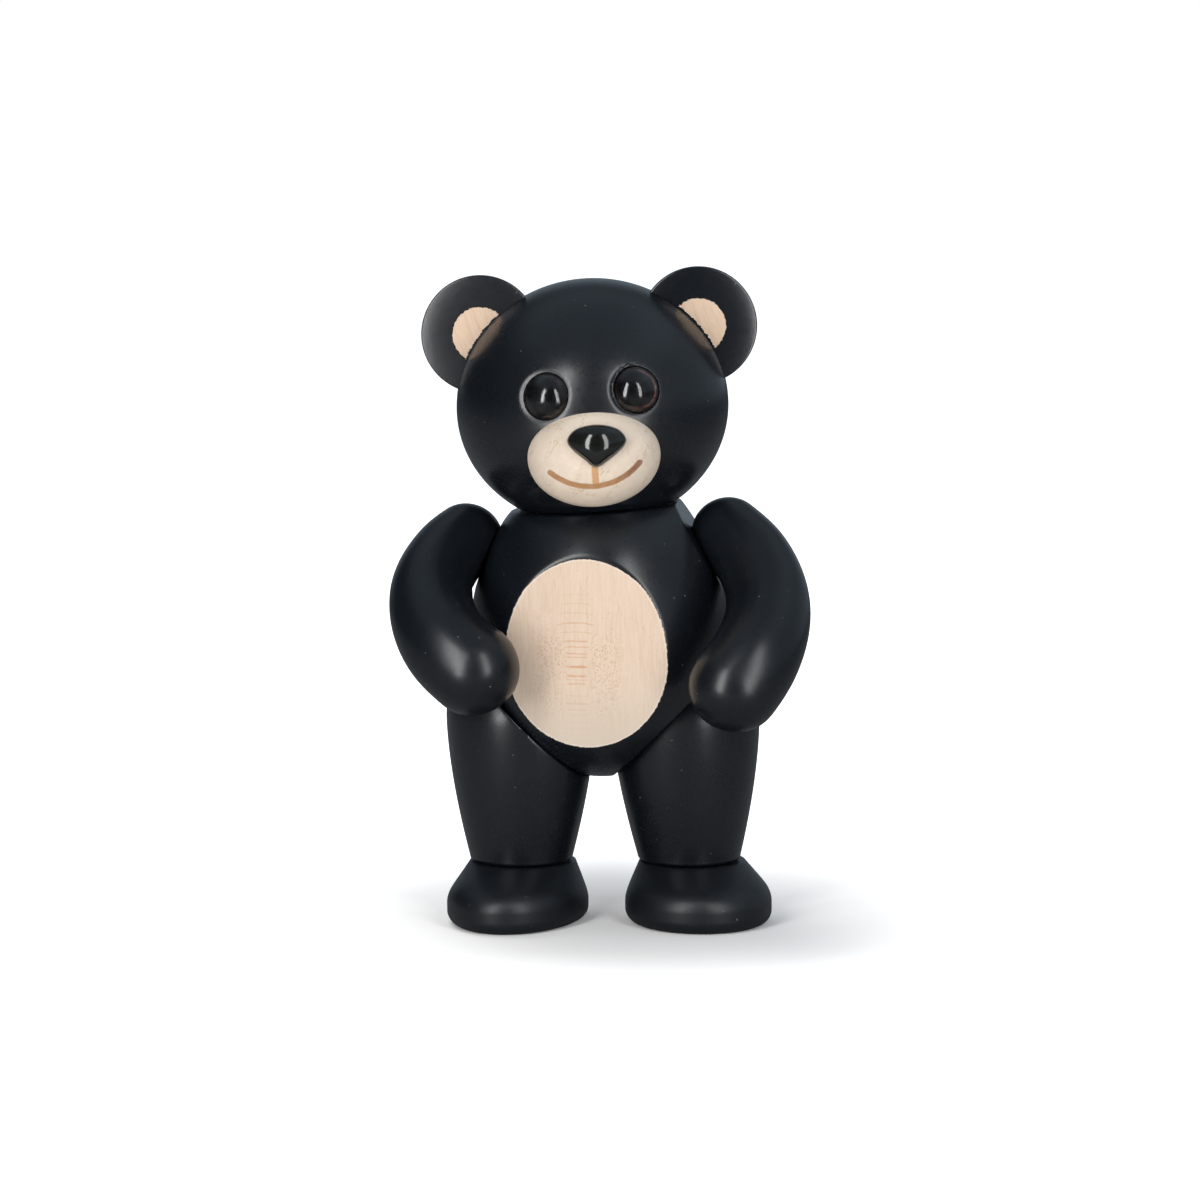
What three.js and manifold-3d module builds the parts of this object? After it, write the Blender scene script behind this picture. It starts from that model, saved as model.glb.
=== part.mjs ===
// Standing wooden bear: turned and carved pieces painted satin black, with a bare wood muzzle,
// belly and ear patches, glass eyes and a glossy nose.
// Millimetres, +Z up. The bear looks along -Y and its left side is towards +X.
import * as THREE from "three";
import { mergeVertices } from "three/addons/utils/BufferGeometryUtils.js";
import Module from "manifold-3d";

const wasm = await Module();
wasm.setup();

// Gap left between pieces that touch
const JOINT_GAP = 0.3;

// Corners nearer than this are one corner
const MERGE_DISTANCE = 1e-4;

// Edge of a block that cuts a flat, more than the height of the figure
const BLOCK_SIZE = 200;

// Sides of the round pieces
const BALL_SIDES = 48;
const LIMB_SIDES = 32;
const ARM_SIDES = 18;
const TRIM_SIDES = 24;

// Facets over a small rounded edge
const EDGE_STEPS = 2;

// Head: a turned ball, a little flattened above and below, cut flat at the neck
const HEAD_CENTRE = [-1.7, 0, 117.9];
const HEAD_ROLL = 3.6;
const HEAD_RADIUS = 31;
const HEAD_ABOVE = 29.1;
const HEAD_BELOW = 27.6;
const HEAD_NECK_DROP = 22.5;
const HEAD_RINGS = 16;

// Ears: discs centred on the surface of the head, with a low crown and a shallow pocket in front
const EAR_RADIUS = 13.4;
const EAR_THICKNESS = 5;
const EAR_FRONT = -4.6;
const EAR_CROWN = 0.6;
const EAR_CROWN_POWER = 4;
const EAR_CROWN_SHARES = [0.7, 0.88, 1];
const EAR_EDGE = 1.6;
const EAR_PATCH_RADIUS = 6.4;
const EAR_PATCH_DEPTH = 0.4;
const LEFT_EAR_AT = [25.1, 17.0];
const RIGHT_EAR_AT = [-24.4, 18.1];

// Muzzle: an oval dome that leans down with the ball of the head
const MUZZLE_HALF_WIDTH = 14.8;
const MUZZLE_HALF_HEIGHT = 11.4;
const MUZZLE_DOME = 10.5;
const MUZZLE_BACK = 1.5;
const MUZZLE_AT = [-0.2, -26.2, -9.2];
const MUZZLE_LEAN = 14;
const MUZZLE_ROUNDNESS = 1.1;
const MUZZLE_RINGS = 6;

// Nose: a rounded triangle with a short wall and a face like a piece of a ball
const NOSE_OUTLINE = [
  [0, 3.9], [-4.6, 2.8], [-6.2, 0.75], [-5.75, -0.6], [-2.6, -3.5],
  [-0.3, -5.1], [2.6, -3.5], [5.75, -0.6], [6.2, 0.75], [4.6, 2.8],
];
const NOSE_AT = [0.65, -36.3, -5.35];
const NOSE_LEAN = -11;
const NOSE_ROLL = -2.6;
const NOSE_WALL = 0.8;
const NOSE_DOME = 3;
const NOSE_BALL_RADIUS = 8.6;
const NOSE_SHOULDER_POWER = 6;
const NOSE_BACK = 3;
const NOSE_SHARES = [1, 0.97, 0.85, 0.5];

// Eyes: domes of glass, each in a dished socket that opens wider above the surface of the head
const EYE_BALL_RADIUS = 5.8;
const EYE_DOME = 3.4;
const EYE_BODY = 1.6;
const EYE_DISH_RADIUS = 6.4;
const EYE_DISH_RISE = 0.35;
const EYE_UPWARD = 11;
const EYE_CLEAR_HEIGHT = 6;
const EYE_CLEAR_FLARE = 1;
const EYE_RINGS = 5;
const LEFT_EYE = { at: [10.03, -28.04, 5.15], outward: 18 };
const RIGHT_EYE = { at: [-10, -28.12, 4.95], outward: -21 };

// Torso: a turned egg, cut flat at the neck, belly, shoulders and hips
const TORSO_AXIS_X = 0.45;
const TORSO_YAW = -7;
const TORSO_RADIUS = 30;
const TORSO_WIDEST = 66;
const TORSO_ABOVE = 38;
const TORSO_BELOW = 33.2;
const TORSO_FULLNESS = 2.1;
const TORSO_RINGS = 18;
const NECK_AT = [-0.3, 0, 95.4];
const BELLY_AT = [0, -23.4, 62];
const BELLY_LEAN = 5.4;
const BELLY_TURN = -1.8;
const LEFT_SHOULDER = { at: [25.3, 0, 82.7], lean: 30 };
const RIGHT_SHOULDER = { at: [-26.1, 0, 82.7], lean: 22 };
const SHOULDER_CUT_RADIUS = 20;
const HIP_APEX = 30.2;
const HIP_LEAN = -45;

// Arms: curved bars with round ends that thicken from the shoulder to the hand. Each centre line
// runs from the tip above the shoulder to the tip of the hand, in the torso's own frame
const ARM_SHOULDER_RADIUS = 8.15;
const ARM_HAND_RADIUS = 11.15;
const ARM_RINGS = 18;
const LEFT_ARM_LINE = [
  [23.6, 4.1, 93], [35.4, -7.5, 83.8], [39.6, -16.6, 74.4], [37.4, -27, 64.1], [27.2, -32.9, 50.7],
];
const RIGHT_ARM_LINE = [
  [-26.4, 2.7, 90.6], [-34.1, -9.2, 84], [-36.2, -21.1, 76.1], [-30.7, -32.6, 66.6], [-16.3, -36.6, 56.1],
];

// Legs: turned and tapered, standing on the feet
const LEG_BOTTOM = 13.3;
const LEG_BOTTOM_RADIUS = 11.9;
const LEG_RADIUS = 17.2;
const LEG_WIDEST = 47;
const LEG_DOME = 21;
const LEG_EDGE = 1;
const LEG_TAPER_POWER = 1.6;
const LEG_RINGS = 10;
const LEFT_LEG = { x: 20.6, lean: -1.9 };
const RIGHT_LEG = { x: -18.1, lean: 0 };

// Feet: shoes with a flat sole, a round rim and a round ankle under the leg. `forward` is how far the
// middle of the shoe lies in front of the ankle, and `aside` how far the ankle lies from the leg
const FOOT_HEIGHT = 13;
const FOOT_HEEL = 13.5;
const FOOT_ANKLE = 12.2;
const FOOT_EDGE = 3;
const FOOT_SIDE = { slope: 4.5, wall: 4.6, round: 0.15 };
const FOOT_FRONT = { slope: 13.8, wall: 4.9, round: 0.48 };
const FOOT_ROUND_REACH = 0.24;
const FOOT_TOP_SHARES = [0, 0.02, 0.08, 0.18, 0.34, 0.62, 1];
const LEFT_FOOT = { halfWidth: 16.7, toe: 25.6, forward: 7.5, turn: 10.2, aside: 0.7 };
const RIGHT_FOOT = { halfWidth: 15.9, toe: 26.6, forward: 3.3, turn: -14.7, aside: 0.35 };

const PAINT = { color: 0x17191c, roughness: 0.45, metalness: 0 };
const BARE_WOOD = { color: 0xe3d2bb, roughness: 0.6, metalness: 0 };
const GLASS = { color: 0x1c1210, roughness: 0.05, metalness: 0 };
const LACQUER = { color: 0x0c0c0e, roughness: 0.12, metalness: 0 };

const radians = THREE.MathUtils.degToRad;

// Joins a closed mesh's shared corners and hands it on as a solid
function toSolid(geometry) {
  const bare = geometry.clone();
  bare.deleteAttribute("normal");
  bare.deleteAttribute("uv");
  const merged = mergeVertices(bare, MERGE_DISTANCE);
  const corners = merged.index.array;
  const triangles = [];
  for (let i = 0; i < corners.length; i += 3) {
    const [a, b, c] = corners.slice(i, i + 3);
    if (a !== b && b !== c && c !== a) {
      triangles.push(a, b, c);
    }
  }
  return new wasm.Manifold(new wasm.Mesh({
    numProp: 3,
    vertProperties: merged.attributes.position.array,
    triVerts: new Uint32Array(triangles),
  }));
}

function toGeometry(solid) {
  const mesh = solid.getMesh();
  const geometry = new THREE.BufferGeometry();
  geometry.setAttribute("position", new THREE.BufferAttribute(mesh.vertProperties, 3));
  geometry.setIndex(new THREE.BufferAttribute(mesh.triVerts, 1));
  geometry.computeVertexNormals();
  return geometry;
}

// A round piece from [radius, height] pairs that go up, closed at both ends, standing along +Z
function turned(profile, sides) {
  const points = profile.map(([radius, height]) => new THREE.Vector2(radius, height));
  points[0].x = 0;
  points[points.length - 1].x = 0;
  return new THREE.LatheGeometry(points, sides).rotateX(Math.PI / 2);
}

// A closed skin from one point over rings to another point; the rings run anticlockwise as seen
// from the last one
function lofted(start, rings, end) {
  const count = rings[0].length;
  const points = [start, ...rings.flat(), end];
  const last = points.length - 1;
  const at = (ring, side) => 1 + ring * count + (side % count);
  const index = [];
  for (let side = 0; side < count; side += 1) {
    index.push(0, at(0, side + 1), at(0, side));
    for (let ring = 0; ring < rings.length - 1; ring += 1) {
      index.push(at(ring, side), at(ring, side + 1), at(ring + 1, side + 1));
      index.push(at(ring, side), at(ring + 1, side + 1), at(ring + 1, side));
    }
    index.push(last, at(rings.length - 1, side), at(rings.length - 1, side + 1));
  }
  const geometry = new THREE.BufferGeometry().setFromPoints(points);
  geometry.setIndex(index);
  return geometry;
}

// A block that fills everything beyond a flat through `at`, on the side that `normal` points to
function beyond(at, normal) {
  const turn = new THREE.Quaternion().setFromUnitVectors(new THREE.Vector3(0, 0, 1), normal);
  return new THREE.BoxGeometry(BLOCK_SIZE, BLOCK_SIZE, BLOCK_SIZE)
    .translate(0, 0, BLOCK_SIZE / 2)
    .applyQuaternion(turn)
    .translate(at.x, at.y, at.z);
}

// Evenly spaced values from one to another, both included
function evenSteps(from, to, count) {
  return Array.from({ length: count + 1 }, (_, i) => from + ((to - from) * i) / count);
}

// Head

// The ball of the head, `extra` larger all round, about its own centre
function headBall(extra) {
  const below = HEAD_BELOW + extra;
  const above = HEAD_ABOVE + extra;
  const start = Math.asin(-HEAD_NECK_DROP / HEAD_BELOW);
  const side = evenSteps(start, Math.PI / 2, HEAD_RINGS).map((angle) => [
    (HEAD_RADIUS + extra) * Math.cos(angle),
    (angle < 0 ? below : above) * Math.sin(angle),
  ]);
  return turned([[0, side[0][1]], ...side], BALL_SIDES);
}

const eyeRim = Math.sqrt(EYE_BALL_RADIUS ** 2 - (EYE_BALL_RADIUS - EYE_DOME) ** 2);

// Turns a shape that looks up so that it looks forward and outward from its place on the head
function facing(geometry, at, lean, outward, roll = 0) {
  return geometry
    .rotateX(Math.PI / 2)
    .rotateY(radians(-roll))
    .rotateX(radians(lean))
    .rotateZ(radians(outward))
    .translate(...at);
}

function eyeShape() {
  const start = Math.asin((EYE_BALL_RADIUS - EYE_DOME) / EYE_BALL_RADIUS);
  const centre = EYE_DOME - EYE_BALL_RADIUS;
  const dome = evenSteps(start, Math.PI / 2, EYE_RINGS).map((angle) => [
    EYE_BALL_RADIUS * Math.cos(angle),
    centre + EYE_BALL_RADIUS * Math.sin(angle),
  ]);
  return turned([[0, -EYE_BODY], [eyeRim, -EYE_BODY], ...dome], TRIM_SIDES);
}

function socketShape() {
  const wall = eyeRim + JOINT_GAP;
  const profile = [
    [0, -EYE_BODY - JOINT_GAP],
    [wall, -EYE_BODY - JOINT_GAP],
    [wall, 0],
    [EYE_DISH_RADIUS, EYE_DISH_RISE],
    [EYE_DISH_RADIUS + EYE_CLEAR_FLARE, EYE_CLEAR_HEIGHT],
    [0, EYE_CLEAR_HEIGHT],
  ];
  return turned(profile, TRIM_SIDES);
}

function makeHead() {
  let head = toSolid(headBall(0));
  for (const eye of [LEFT_EYE, RIGHT_EYE]) {
    head = head.subtract(toSolid(facing(socketShape(), eye.at, -EYE_UPWARD, eye.outward)));
  }
  return head;
}

function makeEye({ at, outward }) {
  return toSolid(facing(eyeShape(), at, -EYE_UPWARD, outward));
}

// A quarter round between a face and a rim, as [radius, height] pairs
function roundedEdge(radius, height, edge, from, to, steps) {
  return evenSteps(from, to, steps).map((angle) => [
    radius + edge * Math.cos(angle),
    height + edge * Math.sin(angle),
  ]);
}

// Points round a circle of radius 1
function circlePoints(count) {
  return evenSteps(0, 2 * Math.PI, count).slice(0, -1).map((angle) => ({
    x: Math.cos(angle),
    y: Math.sin(angle),
  }));
}

// The front of an ear, flat in the middle and falling away towards its rim, as [radius, height] pairs
function earCrown() {
  return EAR_CROWN_SHARES.map((share) => [
    EAR_RADIUS * share,
    EAR_FRONT + EAR_CROWN * share ** EAR_CROWN_POWER,
  ]);
}

function makeEar([x, z]) {
  const back = EAR_FRONT + EAR_THICKNESS;
  const inner = EAR_RADIUS - EAR_EDGE;
  const pocket = EAR_FRONT + EAR_PATCH_DEPTH;
  const profile = [
    [0, pocket],
    [EAR_PATCH_RADIUS, pocket],
    [EAR_PATCH_RADIUS, EAR_FRONT],
    ...earCrown(),
    ...roundedEdge(inner, back - EAR_EDGE, EAR_EDGE, 0, Math.PI / 2, EDGE_STEPS),
    [0, back],
  ].map(([radius, depth]) => new THREE.Vector2(radius, depth));
  const disc = new THREE.LatheGeometry(profile, LIMB_SIDES).translate(x, 0, z);
  return toSolid(disc).subtract(toSolid(headBall(JOINT_GAP)));
}

// The oval muzzle as a low dome, `extra` larger all round, with its flat back inside the head
function muzzleDome(extra) {
  const dome = MUZZLE_DOME + extra;
  const ring = (angle, height) => circlePoints(LIMB_SIDES).map(({ x, y }) => new THREE.Vector3(
    (MUZZLE_HALF_WIDTH + extra) * Math.cos(angle) * x,
    (MUZZLE_HALF_HEIGHT + extra) * Math.cos(angle) * y,
    height,
  ));
  const angles = evenSteps(0, Math.PI / 2, MUZZLE_RINGS).slice(0, -1);
  const skin = angles.map((angle) => ring(angle, dome * Math.sin(angle) ** MUZZLE_ROUNDNESS));
  const foot = new THREE.Vector3(0, 0, -MUZZLE_BACK);
  const peak = new THREE.Vector3(0, 0, dome);
  const body = lofted(foot, [ring(0, -MUZZLE_BACK), ...skin], peak);
  return toSolid(facing(body, MUZZLE_AT, MUZZLE_LEAN, 0));
}

// A point of the nose's face, a share of the way from its middle to the outline
function nosePoint(outlineX, outlineY, share) {
  const x = outlineX * share;
  const y = outlineY * share;
  const ball = NOSE_DOME - (x ** 2 + y ** 2) / (2 * NOSE_BALL_RADIUS);
  const shoulder = Math.sqrt(1 - share ** NOSE_SHOULDER_POWER);
  return new THREE.Vector3(x, y, NOSE_WALL + ball * shoulder);
}

function makeNose() {
  const corners = NOSE_OUTLINE.map(([x, y]) => new THREE.Vector3(x, y, 0));
  const curve = new THREE.CatmullRomCurve3(corners, true, "centripetal");
  const outline = curve.getSpacedPoints(TRIM_SIDES).slice(0, -1);
  const foot = outline.map(({ x, y }) => new THREE.Vector3(x, y, -NOSE_BACK));
  const face = NOSE_SHARES.map((share) => outline.map(({ x, y }) => nosePoint(x, y, share)));
  const base = new THREE.Vector3(0, 0, -NOSE_BACK);
  const peak = new THREE.Vector3(0, 0, NOSE_WALL + NOSE_DOME);
  const button = lofted(base, [foot, ...face], peak);
  return toSolid(facing(button, NOSE_AT, NOSE_LEAN, 0, NOSE_ROLL)).subtract(muzzleDome(JOINT_GAP));
}

// Torso

// Each flat on the torso is a point and an outward direction. The shoulders, hips and belly are in
// the torso's own frame, and the neck is in the figure's
function shoulderFlat(side, gap) {
  const shoulder = side > 0 ? LEFT_SHOULDER : RIGHT_SHOULDER;
  const lean = radians(shoulder.lean);
  const normal = new THREE.Vector3(side * Math.cos(lean), 0, Math.sin(lean));
  return { at: new THREE.Vector3(...shoulder.at).addScaledVector(normal, gap), normal };
}

function hipFlat(side, gap) {
  const lean = radians(HIP_LEAN);
  const normal = new THREE.Vector3(side * Math.cos(lean), 0, Math.sin(lean));
  return { at: new THREE.Vector3(0, 0, HIP_APEX).addScaledVector(normal, gap), normal };
}

function neckFlat() {
  const roll = radians(HEAD_ROLL);
  const normal = new THREE.Vector3(-Math.sin(roll), 0, Math.cos(roll));
  return { at: new THREE.Vector3(...NECK_AT).addScaledVector(normal, -JOINT_GAP), normal };
}

function bellyFlat() {
  const normal = new THREE.Vector3(0, -1, 0)
    .applyEuler(new THREE.Euler(radians(BELLY_LEAN), 0, radians(BELLY_TURN), "ZYX"));
  return { at: new THREE.Vector3(...BELLY_AT), normal };
}

function torsoEgg() {
  const side = evenSteps(-Math.PI / 2, Math.PI / 2, TORSO_RINGS).map((angle) => [
    TORSO_RADIUS * Math.sqrt(1 - Math.abs(Math.sin(angle)) ** TORSO_FULLNESS),
    TORSO_WIDEST + (angle < 0 ? TORSO_BELOW : TORSO_ABOVE) * Math.sin(angle),
  ]);
  return turned(side, BALL_SIDES);
}

// The neck's flat is turned back by the torso's yaw before it cuts
function makeTorso(torsoFrame) {
  let torso = toSolid(torsoEgg());
  const neck = neckFlat();
  const neckBlock = beyond(neck.at, neck.normal).applyMatrix4(torsoFrame.matrix.clone().invert());
  const flats = [
    bellyFlat(), shoulderFlat(1, 0), shoulderFlat(-1, 0), hipFlat(1, 0), hipFlat(-1, 0),
  ];
  for (const { at, normal } of flats) {
    torso = torso.subtract(toSolid(beyond(at, normal)));
  }
  return torso.subtract(toSolid(neckBlock));
}

// How full a round end is at a distance from its tip, as a share of its radius
function endShare(distance, radius) {
  const short = 1 - Math.min(distance / radius, 1);
  return Math.sqrt(1 - short ** 2);
}

// A plug along the shoulder's peg that clears the torso's flat from the arm
function shoulderPlug(side) {
  const { at, normal } = shoulderFlat(side, JOINT_GAP);
  const turn = new THREE.Quaternion().setFromUnitVectors(new THREE.Vector3(0, 0, -1), normal);
  const profile = [
    [0, 0],
    [SHOULDER_CUT_RADIUS, 0],
    [SHOULDER_CUT_RADIUS, TORSO_RADIUS],
    [0, TORSO_RADIUS],
  ];
  return turned(profile, LIMB_SIDES).applyQuaternion(turn).translate(at.x, at.y, at.z);
}

function circle(centre, across, upright, radius) {
  const ring = [];
  for (let i = 0; i < ARM_SIDES; i += 1) {
    const angle = (2 * Math.PI * i) / ARM_SIDES;
    ring.push(centre.clone()
      .addScaledVector(across, radius * Math.cos(angle))
      .addScaledVector(upright, radius * Math.sin(angle)));
  }
  return ring;
}

function makeArm(side, line) {
  const points = line.map((place) => new THREE.Vector3(...place));
  const curve = new THREE.CatmullRomCurve3(points, false, "centripetal");
  const length = curve.getLength();
  const across = new THREE.Vector3(0, 0, 1);
  const rings = [];
  for (let i = 1; i < ARM_RINGS; i += 1) {
    const along = (1 - Math.cos((Math.PI * i) / ARM_RINGS)) / 2;
    const tangent = curve.getTangentAt(along);
    across.projectOnPlane(tangent).normalize();
    const upright = tangent.clone().cross(across);
    const radius = THREE.MathUtils.lerp(ARM_SHOULDER_RADIUS, ARM_HAND_RADIUS, along)
      * endShare(along * length, ARM_SHOULDER_RADIUS)
      * endShare((1 - along) * length, ARM_HAND_RADIUS);
    rings.push(circle(curve.getPointAt(along), across, upright, radius));
  }
  const arm = toSolid(lofted(curve.getPoint(0), rings, curve.getPoint(1)));
  return arm.subtract(toSolid(shoulderPlug(side)));
}

// Legs and feet

// Slides each level of a leg sideways, so that it leans while its lower face stays level
function leaned(geometry, lean) {
  const slide = Math.tan(radians(lean));
  const shear = new THREE.Matrix4().makeShear(0, 0, 0, 0, slide, 0);
  return geometry.translate(0, 0, -LEG_BOTTOM).applyMatrix4(shear).translate(0, 0, LEG_BOTTOM);
}

function makeLeg(side, lean, legFrame, torsoFrame) {
  const start = LEG_BOTTOM + LEG_EDGE;
  const edge = roundedEdge(LEG_BOTTOM_RADIUS - LEG_EDGE, start, LEG_EDGE, -Math.PI / 2, 0, EDGE_STEPS);
  const shank = evenSteps(0, 1, LEG_RINGS / 2).slice(1).map((share) => [
    LEG_BOTTOM_RADIUS + (LEG_RADIUS - LEG_BOTTOM_RADIUS) * (1 - (1 - share) ** LEG_TAPER_POWER),
    start + (LEG_WIDEST - start) * share,
  ]);
  const thigh = evenSteps(0, Math.PI / 2, LEG_RINGS / 2).slice(1).map((angle) => [
    LEG_RADIUS * Math.cos(angle),
    LEG_WIDEST + LEG_DOME * Math.sin(angle),
  ]);
  const leg = toSolid(leaned(turned([[0, LEG_BOTTOM], ...edge, ...shank, ...thigh], LIMB_SIDES), lean));
  const flat = hipFlat(side, JOINT_GAP);
  const torsoSide = beyond(flat.at, flat.normal.negate())
    .applyMatrix4(torsoFrame.matrix)
    .applyMatrix4(legFrame.matrix.clone().invert());
  return leg.subtract(toSolid(torsoSide));
}

// Outline of a foot, drawn in by an inset: half an ellipse in front and half of a shorter one behind
function footOutline(shape, inset, height) {
  const outline = [];
  for (let i = 0; i < LIMB_SIDES; i += 1) {
    const angle = (2 * Math.PI * i) / LIMB_SIDES;
    const length = Math.sin(angle) < 0 ? shape.toe - shape.forward : FOOT_HEEL + shape.forward;
    outline.push(new THREE.Vector3(
      (shape.halfWidth - inset) * Math.cos(angle),
      (length - inset) * Math.sin(angle) - shape.forward,
      height,
    ));
  }
  return outline;
}

// A ring of the foot's upper side, a share of the way from the outline to the ankle. The foot
// leaves its wall in a round that dies away into a slope; towards the toe, where the way is long,
// the round is large.
function footTop(shape, share) {
  const round = Math.sqrt(1 - Math.exp((-2 * share) / FOOT_ROUND_REACH));
  return footOutline(shape, 0, 0).map((outer, i) => {
    const angle = (2 * Math.PI * i) / LIMB_SIDES;
    const ankle = new THREE.Vector3(Math.cos(angle), Math.sin(angle), 0).multiplyScalar(FOOT_ANKLE);
    const toToe = THREE.MathUtils.smoothstep(
      outer.distanceTo(ankle),
      FOOT_SIDE.slope,
      FOOT_FRONT.slope,
    );
    const wall = THREE.MathUtils.lerp(FOOT_SIDE.wall, FOOT_FRONT.wall, toToe);
    const rounded = THREE.MathUtils.lerp(FOOT_SIDE.round, FOOT_FRONT.round, toToe);
    const rise = rounded * round + (1 - rounded) * share;
    const point = outer.lerp(ankle, share);
    point.z = wall + (FOOT_HEIGHT - wall) * rise;
    return point;
  });
}

function makeFoot(shape) {
  const sole = roundedEdge(0, FOOT_EDGE, FOOT_EDGE, -Math.PI / 2, 0, EDGE_STEPS)
    .map(([out, height]) => footOutline(shape, FOOT_EDGE - out, height));
  const upper = FOOT_TOP_SHARES.map((share) => footTop(shape, share));
  const under = new THREE.Vector3(0, -shape.forward, 0);
  const ankle = new THREE.Vector3(0, 0, FOOT_HEIGHT);
  return toSolid(lofted(under, [...sole, ...upper], ankle));
}

// The figure

function mesh(name, solid, finish) {
  const made = new THREE.Mesh(toGeometry(solid), new THREE.MeshStandardMaterial(finish));
  made.name = name;
  return made;
}

function frameAt(x, y, z, yaw, roll) {
  const frame = new THREE.Group();
  frame.position.set(x, y, z);
  frame.rotation.set(0, radians(-roll), radians(yaw), "ZYX");
  frame.updateMatrix();
  return frame;
}

const bear = new THREE.Group();

const headFrame = frameAt(...HEAD_CENTRE, 0, HEAD_ROLL);
headFrame.add(mesh("head", makeHead(), PAINT));
headFrame.add(mesh("left_ear", makeEar(LEFT_EAR_AT), PAINT));
headFrame.add(mesh("right_ear", makeEar(RIGHT_EAR_AT), PAINT));
headFrame.add(mesh("muzzle", muzzleDome(0).subtract(toSolid(headBall(JOINT_GAP))), BARE_WOOD));
headFrame.add(mesh("nose", makeNose(), LACQUER));
headFrame.add(mesh("left_eye", makeEye(LEFT_EYE), GLASS));
headFrame.add(mesh("right_eye", makeEye(RIGHT_EYE), GLASS));

const torsoFrame = frameAt(TORSO_AXIS_X, 0, 0, TORSO_YAW, 0);
torsoFrame.add(mesh("torso", makeTorso(torsoFrame), PAINT));
torsoFrame.add(mesh("left_arm", makeArm(1, LEFT_ARM_LINE), PAINT));
torsoFrame.add(mesh("right_arm", makeArm(-1, RIGHT_ARM_LINE), PAINT));

bear.add(headFrame, torsoFrame);
const sides = [
  { name: "left", side: 1, leg: LEFT_LEG, shoe: LEFT_FOOT },
  { name: "right", side: -1, leg: RIGHT_LEG, shoe: RIGHT_FOOT },
];
for (const { name, side, leg, shoe } of sides) {
  const legFrame = frameAt(leg.x, 0, 0, 0, 0);
  legFrame.add(mesh(`${name}_leg`, makeLeg(side, leg.lean, legFrame, torsoFrame), PAINT));
  const foot = mesh(`${name}_foot`, makeFoot(shoe), PAINT);
  foot.position.x = shoe.aside;
  foot.rotation.z = radians(shoe.turn);
  legFrame.add(foot);
  bear.add(legFrame);
}

// The origin is on the ground under the middle of the figure
bear.updateMatrixWorld(true);
const box = new THREE.Box3().setFromObject(bear, true);
const centre = box.getCenter(new THREE.Vector3());
bear.position.set(-centre.x, -centre.y, -box.min.z);

export default bear;
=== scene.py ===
# Standing wooden bear, 150 mm tall: turned and carved pieces in satin black paint, with a bare maple
# muzzle, belly and ear patches, glass eyes and a glossy nose. The bear looks along -Y, its left side
# is towards +X, and every size below is in millimetres.
import math
import random

import bmesh
import bpy
import numpy as np
from mathutils import Matrix, Vector


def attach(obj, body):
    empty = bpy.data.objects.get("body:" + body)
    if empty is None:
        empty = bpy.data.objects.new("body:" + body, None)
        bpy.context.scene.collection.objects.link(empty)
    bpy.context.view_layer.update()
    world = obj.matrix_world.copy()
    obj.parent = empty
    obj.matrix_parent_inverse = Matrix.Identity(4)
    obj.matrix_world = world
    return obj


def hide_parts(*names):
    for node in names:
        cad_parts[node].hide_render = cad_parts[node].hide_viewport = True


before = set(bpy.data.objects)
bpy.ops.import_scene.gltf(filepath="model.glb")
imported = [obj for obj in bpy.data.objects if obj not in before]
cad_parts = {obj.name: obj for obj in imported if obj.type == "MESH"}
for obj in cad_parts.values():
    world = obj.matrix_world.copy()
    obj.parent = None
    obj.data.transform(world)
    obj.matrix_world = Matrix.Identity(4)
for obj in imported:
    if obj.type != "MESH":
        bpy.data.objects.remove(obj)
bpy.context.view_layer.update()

MM = 0.001

# Places of the pieces
FIGURE_AT = (0.0625, 6.725, 0)
HEAD_CENTRE = (-1.7, 0, 117.9)
HEAD_ROLL = 3.6
TORSO_AXIS_X = 0.45
TORSO_YAW = -7

# Head
HEAD_RADIUS = 31
HEAD_ABOVE = 29.1
HEAD_BELOW = 27.6
HEAD_NECK_DROP = 22.5
HEAD_EDGE = 0.6

# Ears
EAR_RADIUS = 13.35
EAR_THICKNESS = 5
EAR_FRONT = -4.6
EAR_CROWN = 0.6
EAR_CROWN_POWER = 4
EAR_FRONT_EDGE = 0.25
EAR_EDGE = 1.6
EAR_PATCH_RADIUS = 6.4
EAR_PATCH_DEPTH = 0.4
EAR_SEAM = 0.45
LEFT_EAR_AT = (25.1, 17.0)
RIGHT_EAR_AT = (-24.4, 18.1)

# Muzzle
MUZZLE_HALF_WIDTH = 14.8
MUZZLE_HALF_HEIGHT = 11.4
MUZZLE_DOME = 10.5
MUZZLE_BACK = 1.5
MUZZLE_AT = (-0.2, -26.2, -9.2)
MUZZLE_LEAN = 14
MUZZLE_ROUNDNESS = 1.1

# Nose
NOSE_OUTLINE = (
    (0, 3.9), (-4.6, 2.8), (-6.2, 0.75), (-5.75, -0.6), (-2.6, -3.5),
    (-0.3, -5.1), (2.6, -3.5), (5.75, -0.6), (6.2, 0.75), (4.6, 2.8),
)
NOSE_AT = (0.65, -36.3, -5.35)
NOSE_LEAN = -11
NOSE_ROLL = -2.6
NOSE_WALL = 0.8
NOSE_DOME = 3
NOSE_BALL_RADIUS = 7.4
NOSE_SHOULDER_POWER = 6
NOSE_FLARE = 1.05
NOSE_BACK = 3
NOSE_FOOT_HEIGHTS = (-NOSE_BACK, -1.5, 0.0, 0.2)
NOSE_WALL_HEIGHTS = (0.38, 0.55)

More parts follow.
